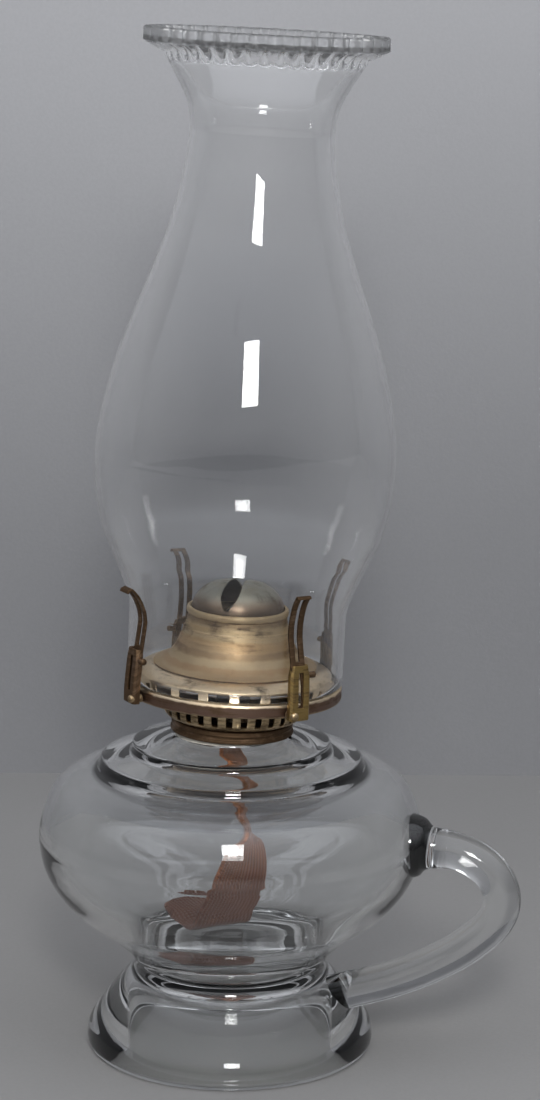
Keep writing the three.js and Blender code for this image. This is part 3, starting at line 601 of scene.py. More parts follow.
# Each brass: its colour, the film's amount, its polish as a roughness, how deep its turning marks
# are, how fine its blotches and its marks are, and its tones. A tone is (low, high, colour, amount):
# between the two heights above the shoulder the brass turns to that colour, up to that amount.
BRASSES = {
    "Dark brass": ("dark_brass", 0.6, 0.3, 0.3, 140, 900, ()),
    "Worn brass": ("worn_brass", 0.5, 0.3, 0.5, 90, 900, ()),
    "Bright brass": ("bright_brass", 0.3, 0.26, 0.4, 140, 900, ()),
    "Olive brass": ("olive_brass", 0.4, 0.32, 0.3, 140, 900, ()),
    "Basket brass": ("worn_brass", 0.45, 0.26, 0.4, 160, 900, ((0.0142, 0.015, "dark_brass", 0.7),)),
    # Deck brass: its brown film turns to bright brass on the rim's crest and the top, a painted highlight
    # and painted light on the lit top. At the rim's lower edge it turns a little towards cone brass.
    "Deck brass": ("deck_brown", 0.4, 0.3, 0.5, 90, 900, (
        (0.018, 0.0187, "bright_brass", 0.8), (0.0153, 0.0149, "cone_brass", 0.3))),
    "Spun cone brass": ("cone_brass", 0.33, 0.5, 2.4, 80, 560, (
        # The brown band at the foot of the bead is painted shade; the other brown and orange rings are
        # bands of colour.
        (0.0402, 0.0425, "cone_brown", 0.55), (0.0432, 0.0437, "cone_brass", 0.8),
        (0.0368, 0.0358, "cone_orange", 0.35), (0.0332, 0.0322, "cone_brown", 0.4),
        (0.0312, 0.03, "cone_brass", 0.75), (0.0284, 0.0278, "cone_orange", 0.4),
        (0.027, 0.026, "cone_brass", 0.6))),
    "Grey dome metal": ("dome_metal", 0.3, 0.36, 0.2, 120, 900, ((0.0515, 0.0475, "dome_heat", 0.85),)),
}
RAGGED_EDGE = 0.0008


def brass(name):
    """One of the brasses, about the burner's axis. The edges of its tones wander by the ragged edge."""
    if name in bpy.data.materials:
        return bpy.data.materials[name]
    colours = bpy.context.scene.lamp_colours
    bright, film_amount, polish, line_amount, blotch_scale, line_scale, tones = BRASSES[name]
    material, tree, shader = new_material(name)
    place = burner_place(tree)
    look = add(tree, "ShaderNodeGroup", {
        "Place": place, "Bright": (*getattr(colours, bright), 1), "Film": (*colours.film, 1),
        "Film amount": film_amount, "Polish": polish, "Line amount": line_amount,
        "Blotch scale": blotch_scale, "Line scale": line_scale,
    }, node_tree=old_brass_group()).outputs
    wander = times(tree, noise(tree, object_place(tree), 260.0, 4.0), 2 * RAGGED_EDGE)
    height = plus(tree, height_of(tree, place), wander)
    base = look["Color"]
    for low, high, tone, amount in tones:
        share = ramp(tree, height, low + RAGGED_EDGE, high + RAGGED_EDGE, 0.0, amount)
        base = blend_colour(tree, share, base, getattr(colours, tone))
    fill(tree, shader, {
        "Base Color": base, "Roughness": look["Roughness"], "Metallic": 1.0,
        "Normal": bump(tree, look["Height"], 0.35, 0.0002),
    })
    return material


def glass(name, tint, wave_scale, haze, wave_strength, dust, satin=None):
    """Clear glass under a little dust. satin gives two heights above the shoulder, between which
    the glass turns from clear to satin."""
    material, tree, shader = new_material(name)
    inputs = {"Place": object_place(tree), "Wave scale": wave_scale, "Haze": haze}
    marks = add(tree, "ShaderNodeGroup", inputs, node_tree=glass_marks_group()).outputs
    rough = marks["Roughness"]
    if satin:
        height = height_of(tree, burner_place(tree))
        rough = plus(tree, rough, ramp(tree, height, *satin, 0.0, 0.3))
    fill(tree, shader, {
        "Base Color": (*tint, 1), "Metallic": 0.0, "Transmission Weight": 1.0, "IOR": 1.5,
        "Sheen Weight": dust, "Sheen Roughness": 0.4, "Roughness": rough,
        "Normal": bump(tree, marks["Height"], wave_strength, 0.001),
    })
    return material


def plaster():
    material, tree, shader = new_material("Plaster")
    place = object_place(tree)
    grain = noise(tree, place, 1800.0, 4.0, 0.7)
    stain = ramp(tree, noise(tree, place, 160.0, 5.0), 0.4, 0.7)
    base = bpy.context.scene.lamp_colours.plaster
    fill(tree, shader, {
        "Base Color": blend_colour(tree, stain, base, shaded(base, 0.6)),
        "Roughness": ramp(tree, grain, 0.2, 0.8, 0.75, 0.95), "Normal": bump(tree, grain, 0.5, 0.0004),
    })
    return material


def wick_cotton(top):
    """Stained cotton: the two slanting sets of threads come from the piece's own UV map, in threads,
    and oil stains lie over them. The wick is burnt at its top, and soaked dark towards its tail."""
    material, tree, shader = new_material("Stained wick cotton")
    colours = bpy.context.scene.lamp_colours
    base = colours.wick_cotton
    place = object_place(tree)
    threads = add(tree, "ShaderNodeSeparateXYZ", {0: add(tree, "ShaderNodeTexCoord").outputs["UV"]}).outputs
    dips = [maths(tree, "ABSOLUTE", maths(tree, "SINE", times(tree, threads[i], math.pi))) for i in (0, 1)]
    thread = times(tree, *dips)
    fibre = noise(tree, place, 3500.0, 3.0, 0.7)
    stain = ramp(tree, noise(tree, place, 110.0, 5.0, 0.6), 0.35, 0.7)
    height = height_of(tree, burner_place(tree))
    soaked = ramp(tree, plus(tree, height, times(tree, stain, 0.008)), -0.034, -0.058, 0.0, 0.9)
    burnt = ramp(tree, plus(tree, height, times(tree, fibre, 0.004)), top - 0.003, top + 0.001)
    tone = blend_colour(tree, stain, shaded(base, 1.35), shaded(base, 0.55))
    # Painted shade: the grooves between the threads are painted darker, as shade in the weave's hollows.
    tone = blend_colour(tree, ramp(tree, thread, 0.0, 0.6, 0.6, 0.0), tone, shaded(base, 0.22))
    tone = blend_colour(tree, ramp(tree, fibre, 0.55, 0.8, 0.0, 0.35), tone, shaded(base, 2.2))
    tone = blend_colour(tree, soaked, tone, colours.wick_dark)
    tone = blend_colour(tree, burnt, tone, colours.wick_char)
    fill(tree, shader, {
        "Base Color": tone, "Roughness": ramp(tree, fibre, 0.2, 0.8, 0.7, 0.95), "Sheen Weight": 0.25,
        "Normal": bump(tree, plus(tree, thread, times(tree, fibre, 0.5)), 0.6, 0.0004),
    })
    return material


def stage_paper(name, tone, painted_light_top_tone):
    """Matt paper: slow clouds and fine grain over a tone that turns to painted_light_top_tone with height,
    as painted light that is stronger higher up. It is seen from its front only, so that the backdrop
    doesn't hide the lamp from behind."""
    material, tree, shader = new_material(name)
    place = object_place(tree)
    # Painted light: the tone turns lighter with height, standing in for light that is stronger higher up
    # the backdrop.
    painted_light_rise = ramp(tree, height_of(tree, place), 0.06, 0.46)
    plain, dark, shade = (
        blend_colour(tree, painted_light_rise, shaded(tone, k), shaded(painted_light_top_tone, k)) for k in (1, 0.94, 0.86))
    cloud = ramp(tree, noise(tree, place, 3.0, 3.0), 0.3, 0.7)
    grain = noise(tree, place, 700.0, 2.0)
    base = blend_colour(tree, cloud, plain, dark)
    fill(tree, shader, {
        "Base Color": blend_colour(tree, ramp(tree, grain, 0.3, 0.7, 0.0, 0.25), base, shade),
        "Roughness": 0.75, "Specular IOR Level": 0.25, "Normal": bump(tree, grain, 0.1, 0.0005),
    })
    clear = add(tree, "ShaderNodeBsdfTransparent").outputs[0]
    back = add(tree, "ShaderNodeNewGeometry").outputs["Backfacing"]
    mix = add(tree, "ShaderNodeMixShader", {0: back, 1: shader.outputs[0], 2: clear}).outputs[0]
    fill(tree, tree.nodes["Material Output"], {"Surface": mix})
    return material


# Share tables: each curve as shares of its own width and height

FOOT_SHARES = (
    (0.894, 0), (0.965, 0.04), (1, 0.105), (0.98, 0.21), (0.91, 0.31), (0.69, 0.49), (0.46, 0.66),
    (0.21, 0.82), (0.06, 0.91), (0, 1),
)
LOWER_BOWL_SHARES = ((0, 0), (0.1, 0.12), (0.34, 0.28), (0.62, 0.435), (0.845, 0.63), (0.96, 0.81), (1, 1))
SHOULDER_SHARES = (
    (1, 0), (0.987, 0.159), (0.915, 0.422), (0.831, 0.551), (0.714, 0.638), (0.605, 0.677),
    (0.562, 0.704), (0.545, 0.753), (0.526, 0.789), (0.427, 0.814),
)
STEP_SHARES = (
    (0.427, 0.814), (0.342, 0.836), (0.316, 0.855), (0.303, 0.899), (0.288, 0.934), (0.128, 0.973),
    (0, 1),
)
FLOOR_SHARES = (
    (0, 0), (0.19, 0.006), (0.35, 0.045), (0.46, 0.11), (0.55, 0.202), (0.67, 0.35), (0.81, 0.52),
    (0.92, 0.694), (0.975, 0.842), (1, 1),
)
CEILING_SHARES = (
    (1, 0), (0.987, 0.17), (0.918, 0.425), (0.833, 0.545), (0.7, 0.62), (0.54, 0.665), (0.328, 0.79),
    (0.157, 0.912), (0, 1),
)
HOLLOW_SHARES = (
    (1, 0), (0.985, 0.2), (0.96, 0.4), (0.92, 0.6), (0.855, 0.78), (0.75, 0.91), (0.58, 0.975),
    (0.3, 0.995), (0, 1),
)
RING_SHARES = (
    (0.408, 1), (0.503, 1), (0.556, 1), (0.604, 0.997), (0.725, 0.99), (0.831, 0.955), (0.926, 0.885),
    (0.981, 0.8), (1, 0.71), (0.987, 0.625), (0.942, 0.54), (0.87, 0.46), (0.778, 0.375), (0.659, 0.29),
    (0.514, 0.205), (0.344, 0.125), (0.154, 0.055), (-0.004, 0),
)
RING_SWELL_SHARES = (1, 1, 0.75, 0.2) + (0,) * 14
CONE_SKIRT_SHARES = ((1, 0), (0.66, 0.13), (0.36, 0.36), (0.14, 0.66), (0, 1))
CONE_WALL_SHARES = ((1, 0), (0.8, 0.14), (0.5, 0.45), (0.36, 0.5), (0, 1))
LOWER_BULB_SHARES = (
    (0, 0), (0.05, 0.075), (0.27, 0.225), (0.53, 0.377), (0.77, 0.53), (0.97, 0.79), (1, 1),
)
UPPER_BULB_SHARES = (
    (1, 0), (0.97, 0.1), (0.85, 0.245), (0.677, 0.39), (0.35, 0.61), (0.163, 0.755), (0.048, 0.9), (0, 1),
)
FLARE_SHARES = ((0, 0), (0.094, 0.31), (0.35, 0.586), (0.65, 0.845), (0.84, 0.94), (1, 1))
CLIP_SHARES = ((1, 0), (1, 0.22), (0.62, 0.5), (0.22, 0.78), (0, 1))
CURL_SHARES = ((0, 0), (0.1, 0.26), (0.26, 0.47), (0.45, 0.66), (0.68, 0.83), (1, 1))
WICK_TURN_SHARES = ((0, -0.1), (0.07, -0.3), (0.33, -0.32), (0.47, 0.35), (0.72, 0.8), (1, 1))
WICK_SWAY_SHARES = (
    (0, 0), (0.03, 0.03), (0.1, 0.4), (0.25, 1), (0.47, 0.98), (0.7, 0.82), (0.88, 0.45), (1, 0.1),
)


# Glass font

# The turn, in radians, between shapes that cut each other, so that none of their edges coincide
APART = 0.01
NECK_LIP = 0.0006
NECK_WALL = 0.002
CEILING_DEPTH = 0.0038
CUT_THROUGH = 0.001


def font_outside(s):
    """Foot, waist, bowl, shoulder, step and neck as one (radius, height) curve, from axis to axis."""
    foot = stretched(FOOT_SHARES, (s.waist_radius, 0), (s.foot_radius, s.waist_height), 40)
    waist, widest = (s.waist_radius, s.waist_height), (s.bowl_radius, s.bowl_height)
    bowl = stretched(LOWER_BOWL_SHARES, waist, widest, 32)
    corner = (s.shoulder_radius, s.bowl_height)
    shoulder = stretched(SHOULDER_SHARES, corner, (s.bowl_radius, SHOULDER_HEIGHT), 48)
    step = stretched(STEP_SHARES, corner, (s.bowl_radius, SHOULDER_HEIGHT), 34)
    r, top = s.neck_radius, SHOULDER_HEIGHT + s.neck_rise
    neck = [(r, SHOULDER_HEIGHT), (r, top - NECK_LIP), (r - NECK_LIP, top), (0, top)]
    return np.concatenate([[(0, 0)], foot, bowl[1:], shoulder[1:], step[1:], neck])


def font_inside(s):
    """The bowl's cavity and the neck's bore as one (radius, height) curve, from axis to axis."""
    widest, bore = s.bowl_radius - s.wall, s.neck_radius - NECK_WALL
    lower = stretched(FLOOR_SHARES, (0, s.floor_height), (widest, s.bowl_height), 40)
    upper = stretched(CEILING_SHARES, (bore, s.bowl_height), (widest, SHOULDER_HEIGHT - CEILING_DEPTH), 40)
    out = SHOULDER_HEIGHT + s.neck_rise + CUT_THROUGH
    return np.concatenate([lower, upper[1:], [(bore, out), (0, out)]])


def foot_hollow(s):
    rest = s.waist_radius + FOOT_SHARES[0][0] * (s.foot_radius - s.waist_radius) - s.rest_width
    vault = stretched(HOLLOW_SHARES, (0, 0), (rest, s.hollow_height), 32)
    return np.concatenate([[(0, -CUT_THROUGH), (rest, -CUT_THROUGH)], vault])


def finger_ring(s):
    """Circles along the ring's centre line, which leaves the bowl level, turns down and runs back
    to the foot. They are wider near the bowl."""
    shares = curve_through(RING_SHARES, 110)
    out = s.waist_radius + shares[:, 0] * (s.ring_reach - s.waist_radius)
    up = s.ring_foot + shares[:, 1] * (s.ring_top - s.ring_foot)
    path = np.stack([out, np.zeros(len(shares)), up], 1)
    swell = curve_through(np.array(RING_SWELL_SHARES)[:, None], len(path))[:, 0]
    half = (1 + swell * (s.ring_swell - 1)) * s.ring_thickness / 2
    return tube(path, np.array([0.0, 1.0, 0.0]), half, 40)


class LAMP_OT_font(bpy.types.Operator):
    """Build the pressed glass font with its foot and finger ring"""

    bl_idname = "finger_lamp.font"
    bl_label = "Glass font"

    def execute(self, context):
        s = context.scene.lamp_font
        outlines = (("pressed_glass_font", font_outside), ("cavity", font_inside), ("hollow", foot_hollow))
        body, cavity, hollow = (
            plain_object(name, upright(skin(turned(outline(s), around(160) + turn * APART))))
            for turn, (name, outline) in enumerate(outlines))
        ring = plain_object("ring", upright(finger_ring(s)))
        carve(body, [(ring, "UNION"), (cavity, "DIFFERENCE"), (hollow, "DIFFERENCE")])
        clear = glass("Pressed glass", context.scene.lamp_colours.font_glass, 38.0, 0.05, 0.12, 0.02)
        finish_piece(body, clear, "font", ["glass_font"], 35)
        return {"FINISHED"}


# Collar

COLLAR_FOOT = 0.0013
COLLAR_BORE, BORE_FOOT = 0.0153, -0.001


class LAMP_OT_collar(bpy.types.Operator):
    """Build the brass collar and give the plaster in it its finish"""

    bl_idname = "finger_lamp.collar"
    bl_label = "Collar"

    def execute(self, context):
        s = context.scene.lamp_burner
        r, high, low = s.collar_radius, s.collar_height, COLLAR_FOOT
        bore, skirt = COLLAR_BORE, s.collar_radius - SHEET
        outline = [
            (skirt, low), (r + 0.0005, low), (r + 0.0005, low + 0.001), (r, low + 0.0014),
            (r, low + 0.0022), (r + 0.0003, low + 0.0026), (r, low + 0.003), (r, high - 0.0005),
            (r - 0.0005, high), (bore, high), (bore, BORE_FOOT), (bore + SHEET, BORE_FOOT),
            (bore + SHEET, high - SHEET), (skirt, high - SHEET),
        ]
        obj = leaned_ring("brass_collar", outline, 0.0003, 128)
        finish_piece(obj, brass("Dark brass"), "font", ["collar"])
        dress("collar_cement", plaster())
        return {"FINISHED"}


# Burner

CUP_BORE, CUP_RADIUS = 0.0142, 0.015
FLANGE_RADIUS = 0.0208
BASKET_FLOOR_RADIUS = 0.0206
BASKET_TURN = 0.0033
SILL_RISE, SLOT_HEIGHT, SLOT_WIDTH = 0.0012, 0.005, 0.0021
DECK_BORE = 0.024
GALLERY_HEIGHT, LEDGE_RISE = 0.0033, 0.002
WINDOW_WIDTH, WINDOW_START = 0.0068, math.radians(6)
SKIRT_HEIGHT = 0.0095
BEAD_REACH, BEAD_HEIGHT = 0.0007, 0.0024
DOME_LAP = 0.0016
DOME_SLOT_HALF, DOME_SLOT_SWELL = 0.0024, 0.0008


def pierced_band(outline, count, width, low, high, start, per_cell=4):
    """A thin turned band with evenly spaced openings. Columns run along the openings' sides and
    rows along their sills and heads, and the cells inside an opening have no face."""
    rows = np.asarray(outline, float)
    pitch = 2 * np.pi / count
    half = width / 2 / float(np.mean(rows[:, 0]))
    steps = np.concatenate([np.linspace(-half, half, per_cell, endpoint=False),
                            np.linspace(half, pitch - half, per_cell, endpoint=False)])
    angles = (start + np.arange(count)[:, None] * pitch + steps[None]).ravel()
    middle = between(rows[:, 1])
    inside_row = (middle > low) & (middle < high)
    inside_column = np.tile(np.arange(2 * per_cell) < per_cell, count)
    kept = ~(inside_row[:, None] & inside_column[None])
    return skin(turned(rows, angles), kept=kept)


def basket_levels(s):
    """Heights of the basket's floor and of its openings' sills and heads."""
    foot = s.collar_height + SHEET + 2 * SEAM
    sill = foot + SILL_RISE
    return foot, sill, sill + SLOT_HEIGHT


def basket_outline(s):
    """The basket's side, with rows at the openings' sills and heads, from its floor to its top."""
    foot, sill, head = basket_levels(s)
    top = s.deck_height - SHEET - SEAM
    heights = np.array([foot, foot + 0.0004, sill, sill, sill + 0.001, sill + 0.0024, sill + 0.0038,
                        head, head, top - 0.0006, top])
    share = np.clip((heights - foot) / BASKET_TURN, 0, 1)
    radii = s.basket_radius - 0.0023 * (1 - np.sqrt(np.clip(share * (2 - share), 0, 1)))
    return np.stack([radii, heights], 1)


class LAMP_OT_burner_base(bpy.types.Operator):
    """Build the burner's base, slotted basket and deck, and finish its hidden pieces"""

    bl_idname = "finger_lamp.burner_base"
    bl_label = "Burner base, basket and deck"

    def execute(self, context):
        s = context.scene.lamp_burner
        foot, low, edge = 0.0006, s.collar_height + SEAM, FLANGE_RADIUS + 0.0005
        flange = [
            (CUP_BORE, foot), (CUP_RADIUS, foot), (CUP_RADIUS, low), (FLANGE_RADIUS, low),
            (edge, low + 0.0003), (edge, low + 0.0006),
            (FLANGE_RADIUS, low + SHEET), (CUP_BORE, low + SHEET),
        ]
        base = leaned_ring("burner_base_cup", flange, 0.0002, 128)
        finish_piece(base, brass("Dark brass"), "burner", ["burner_base"])
        self.basket(s)
        self.deck(s)
        for node in ("air_screen", "raiser_bracket"):
            dress(node, brass("Dark brass"))
        dress("wick_tube", brass("Worn brass"))
        return {"FINISHED"}

    def basket(self, s):
        foot, sill, head = basket_levels(s)
        count = s.basket_slots
        band = pierced_band(basket_outline(s), count, SLOT_WIDTH, sill, head, np.pi / count, 3)
        side = thicken(leaned_object("slotted_basket", band), PIERCED_SHEET)
        inner, outer, top = CUP_RADIUS + 0.0001, BASKET_FLOOR_RADIUS, foot + SHEET
        outline = [(inner, foot), (outer, foot), (outer, top), (inner, top)]
        floor = leaned_ring("basket_floor", outline, 0.0002, 96)
        finish_piece(side, brass("Basket brass"), "burner", ["air_basket"])
        finish_piece(floor, brass("Dark brass"), "burner")

    def deck(self, s):
        top, r = s.deck_height, s.deck_radius
        low = top - s.rim_drop
        outline = [
            (DECK_BORE, top - SHEET), (r - 0.0014, top - SHEET), (r - SHEET, top - 0.0014),
            (r - SHEET, low + 0.0004), (r - 0.0006, low), (r - 0.0002, low), (r, low + 0.0004),
            (r, top - 0.0012), (r - 0.0003, top - 0.0004), (r - 0.0010, top), (r - 0.0024, top),
            (r - 0.0028, top - 0.0002), (DECK_BORE + 0.0005, top - 0.0002), (DECK_BORE, top - 0.0003),
        ]
        obj = leaned_ring("rimmed_deck", outline, 0.00025, 192)
        finish_piece(obj, brass("Deck brass"), "burner", ["burner_deck"])


class LAMP_OT_cone(bpy.types.Operator):
    """Build the ring of windows, the draft cone and the slotted dome"""

    bl_idname = "finger_lamp.cone"
    bl_label = "Gallery, cone and dome"

    def execute(self, context):
        s = context.scene.lamp_burner
        foot = s.deck_height + SEAM
        top = foot + GALLERY_HEIGHT
        base = top + LEDGE_RISE + SEAM
        self.gallery(s, foot, top)
        self.cone(s, base)
        self.dome(s, base + s.cone_height)
        return {"FINISHED"}

    def gallery(self, s, foot, top):
        r, inner = s.gallery_radius, s.cone_base - SHEET
        sill, head = foot + 0.0008, foot + 0.0025
        outline = [
            (r, foot), (r, sill), (r, sill + 0.0009), (r, head), (r, top - 0.0003), (r - 0.0004, top),
            (r - 0.0009, top + 0.0003), (r - 0.0028, top + 0.0012),
            (inner + 0.0004, top + LEDGE_RISE), (inner, top + LEDGE_RISE),
        ]
        band = pierced_band(outline, s.windows, WINDOW_WIDTH, sill, head, WINDOW_START, 6)
        obj = thicken(leaned_object("window_gallery", band), PIERCED_SHEET)
        finish_piece(obj, brass("Bright brass"), "burner", ["cone_gallery"])

    def cone(self, s, base):
        shoulder, neck = base + SKIRT_HEIGHT, base + s.cone_height - BEAD_HEIGHT
        skirt = stretched(CONE_SKIRT_SHARES, (s.cone_shoulder, base), (s.cone_base, shoulder), 28)
        wall = stretched(CONE_WALL_SHARES, (s.cone_mouth, shoulder), (s.cone_shoulder, neck), 24)
        turn = np.linspace(-np.pi / 2, np.pi / 2, 12)
        half = BEAD_HEIGHT / 2
        bead = np.stack([s.cone_mouth + BEAD_REACH * np.cos(turn), neck + half * (1 + np.sin(turn))], 1)
        outside = np.concatenate([skirt, wall[1:], bead])
        straight = [(s.cone_mouth, neck + half), (s.cone_mouth, neck + BEAD_HEIGHT)]
        plain = np.concatenate([skirt, wall[1:], straight])
        inside = moved_sideways(plain, THIN_SHEET)[::-1]
        inside[-1] = (s.cone_base - THIN_SHEET, base)
        obj = leaned_object("spun_draft_cone", lathe(np.concatenate([outside, inside]), 192))
        finish_piece(obj, brass("Spun cone brass"), "burner", ["draft_cone"])

    def dome(self, s, mouth):
        """The dome is half an ellipsoid, cut by a slot that is widest short of its two ends."""
        radius = s.cone_mouth - THIN_SHEET - SEAM - 0.0002
        outside = self.cap(radius, s.dome_rise, mouth)
        inside = self.cap(radius - THIN_SHEET, s.dome_rise - THIN_SHEET, mouth)[::-1]
        rim = [(radius - THIN_SHEET, mouth - DOME_LAP), (radius, mouth - DOME_LAP)]
        outline = np.concatenate([inside, rim, outside])
        obj = leaned_object("slotted_dome", skin(turned(outline, around(128))))
        t = np.linspace(-1, 1, 41)
        half = DOME_SLOT_HALF + DOME_SLOT_SWELL * np.sin(np.pi * np.abs(t) / 1.44) ** 2
        half = half * np.sqrt(np.clip(1 - np.abs(t) ** 9, 0.06, 1))
        edge = np.stack([half, t * s.dome_slot / 2], 1)
        edge = np.concatenate([edge, (edge * (-1, 1))[::-1]])
        low, high = mouth + 0.0003, mouth + 2 * s.dome_rise
        loop = np.stack([np.column_stack([edge * k, np.full(len(edge), z)])
                         for k, z in ((0, low), (1, low), (1, high), (0, high))])
        carve(obj, [(leaned_object("slot", skin(loop)), "DIFFERENCE")])
        finish_piece(obj, brass("Grey dome metal"), "burner", ["flame_dome"])

    def cap(self, radius, rise, foot):
        angle = np.linspace(np.pi / 2, 0, 36)
        return np.stack([radius * np.sin(angle), foot + rise * np.cos(angle)], 1)


RAISER_PLACE = (-0.0066, 0.0115)
SHAFT_ENDS = (-0.0111, 0.0444)
WHEEL_REACH = 0.042
MILLED_TEETH, TOOTH_DEPTH = 44, 0.00035


class LAMP_OT_raiser(bpy.types.Operator):
    """Build the milled thumbwheel and finish the shaft and the spur wheels"""

    bl_idname = "finger_lamp.raiser"
    bl_label = "Wick raiser"

    def execute(self, context):
        r = context.scene.lamp_burner.thumbwheel_radius
        half = np.array([(0.0016, 0.0016), (0.0028, 0.0016), (0.003, 0.0006), (r - 0.0026, 0.0004),
                         (r - 0.0022, 0.0009), (r - 0.0003, 0.0009)])
        outline = rounded(np.concatenate([half * (1, -1), half[::-1]]), 0.0003)
        x, z = RAISER_PLACE
        angles = around(MILLED_TEETH * 6)
        rim = np.clip((outline[:, :1] - (r - 0.0008)) / 0.0005, 0, 1)
        milled = rim * (TOOTH_DEPTH * np.cos(MILLED_TEETH * angles))[None]
        points = turned(outline, angles, milled)[..., [0, 2, 1]] + (x, WHEEL_REACH, z)
        obj = leaned_object("milled_thumbwheel", skin(points, rows_close=True))
        finish_piece(obj, brass("Worn brass"), "raiser", ["thumbwheel"])
        front, back = SHAFT_ENDS
        rod = leaned_object("raiser_rod", bar((x, front, z), (x, back, z), 0.0013, 0.0006, 32))
        finish_piece(rod, brass("Worn brass"), "raiser", ["wick_shaft"])
        for node in ("spur_wheel_front", "spur_wheel_back"):
            dress(node, brass("Worn brass"))
        return {"FINISHED"}


# Prongs

# Each prong: its azimuth in degrees, its height as a share of the back right one's, how far it tips
# sideways as it rises, and the side of its rivet.
PRONGS = {
    "back_right": (45, 1, 0, -1), "back_left": (135, 0.95, 0, 1),
    "front_left": (225, 0.93, 0.11, 1), "front_right": (317.5, 1.03, -0.12, -1),
}
GRIP_RADIUS, CLIP_RADIUS = 0.0375, 0.0389
FOOT_DROP, CLIP_RISE, HOLD_RISE = 0.005, 0.0138, 0.023
STUD_RISE, STUD_RADIUS, STUD_BULGE = 0.0101, 0.0011, 0.0005
RIVET_RISE, RIVET_ASIDE, RIVET_RADIUS, RIVET_BULGE = 0.0017, 0.0023, 0.0014, 0.0007
LEG_GAP, LEG_OFFSET, LEG_EDGE = 0.0008, 0.0009, 0.00015


def prong_side(s, height_share):
    """The prong's inner face as (radius, height), from its foot to the end of its curl."""
    floor, hold = s.deck_height - FOOT_DROP, s.deck_height + SEAM + HOLD_RISE
    clip = stretched(CLIP_SHARES, (GRIP_RADIUS, floor), (CLIP_RADIUS, hold), 60)
    tip = s.deck_height + SEAM + s.prong_height * height_share
    curl = stretched(CURL_SHARES, (GRIP_RADIUS, hold), (GRIP_RADIUS + s.prong_curl, tip), 40)
    return np.concatenate([clip, curl[1:]])


def prong_legs(s, height_share):
    """Two legs side by side: a sheet that follows the prong's side, with a long gap between them,
    joined where they start and where they end."""
    side = moved_sideways(prong_side(s, height_share), -LEG_OFFSET)
    grown = np.concatenate([side, side[-1:] + [[0.0007, -0.0003]], side[-1:] + [[0.0009, -0.0011]]])
    slim = s.leg_width / 2 - 0.0001
    across = np.array([-slim, -slim * 0.6, -LEG_GAP, 0, LEG_GAP, slim * 0.6, slim])
    points = grid(grown[:, :1], across, grown[:, 1:])
    middle = between(grown[:, 1])
    clip_top = s.deck_height + CLIP_RISE
    open_row = ((middle > clip_top + 0.0012) & (np.arange(len(middle)) < len(side) - 4)) \
        | ((middle > s.deck_height - 0.0008) & (middle < clip_top - 0.0016))
    open_cell = np.zeros((len(middle), 6), bool)
    open_cell[:, 2:4] = open_row[:, None]
    return skin(points, columns_close=False, kept=~open_cell)


def prong_clip(s):
    """The clip: a channel whose front stands off the legs and whose cheeks turn in to the deck's
    rim, with a window in its front."""
    floor, top, wide = s.deck_height - FOOT_DROP, s.deck_height + CLIP_RISE, s.prong_width / 2
    cheek = np.array([(0, wide), (0.0009, wide), (0.0017, wide), (0.0024, wide - 0.0007), (0.0025, 0.001)])
    path = np.concatenate([cheek * (1, -1), [(0.0025, 0)], cheek[::-1]])
    runs = ((floor, floor + 0.0036, 4), (floor + 0.0044, top - 0.0024, 9), (top - 0.0016, top, 3))
    heights = np.concatenate([np.linspace(*run) for run in runs])
    face = np.interp(heights, *prong_side(s, 1)[:, ::-1].T)
    taper = 1 - 0.22 * np.clip((heights - (top - 0.0035)) / 0.0035, 0, 1)
    points = grid(face[:, None] + path[:, 0], taper[:, None] * path[:, 1], heights[:, None])
    middle = between(heights)
    window = (middle > floor + 0.0042) & (middle < top - 0.0022)
    open_cell = np.zeros((len(middle), len(path) - 1), bool)
    open_cell[:, 4:6] = window[:, None]
    return skin(points, columns_close=False, kept=~open_cell)


def swung(shape, azimuth):
    points, faces = shape
    c, s = math.cos(azimuth), math.sin(azimuth)
    return points @ np.array([[c, s, 0], [-s, c, 0], [0, 0, 1]]), faces


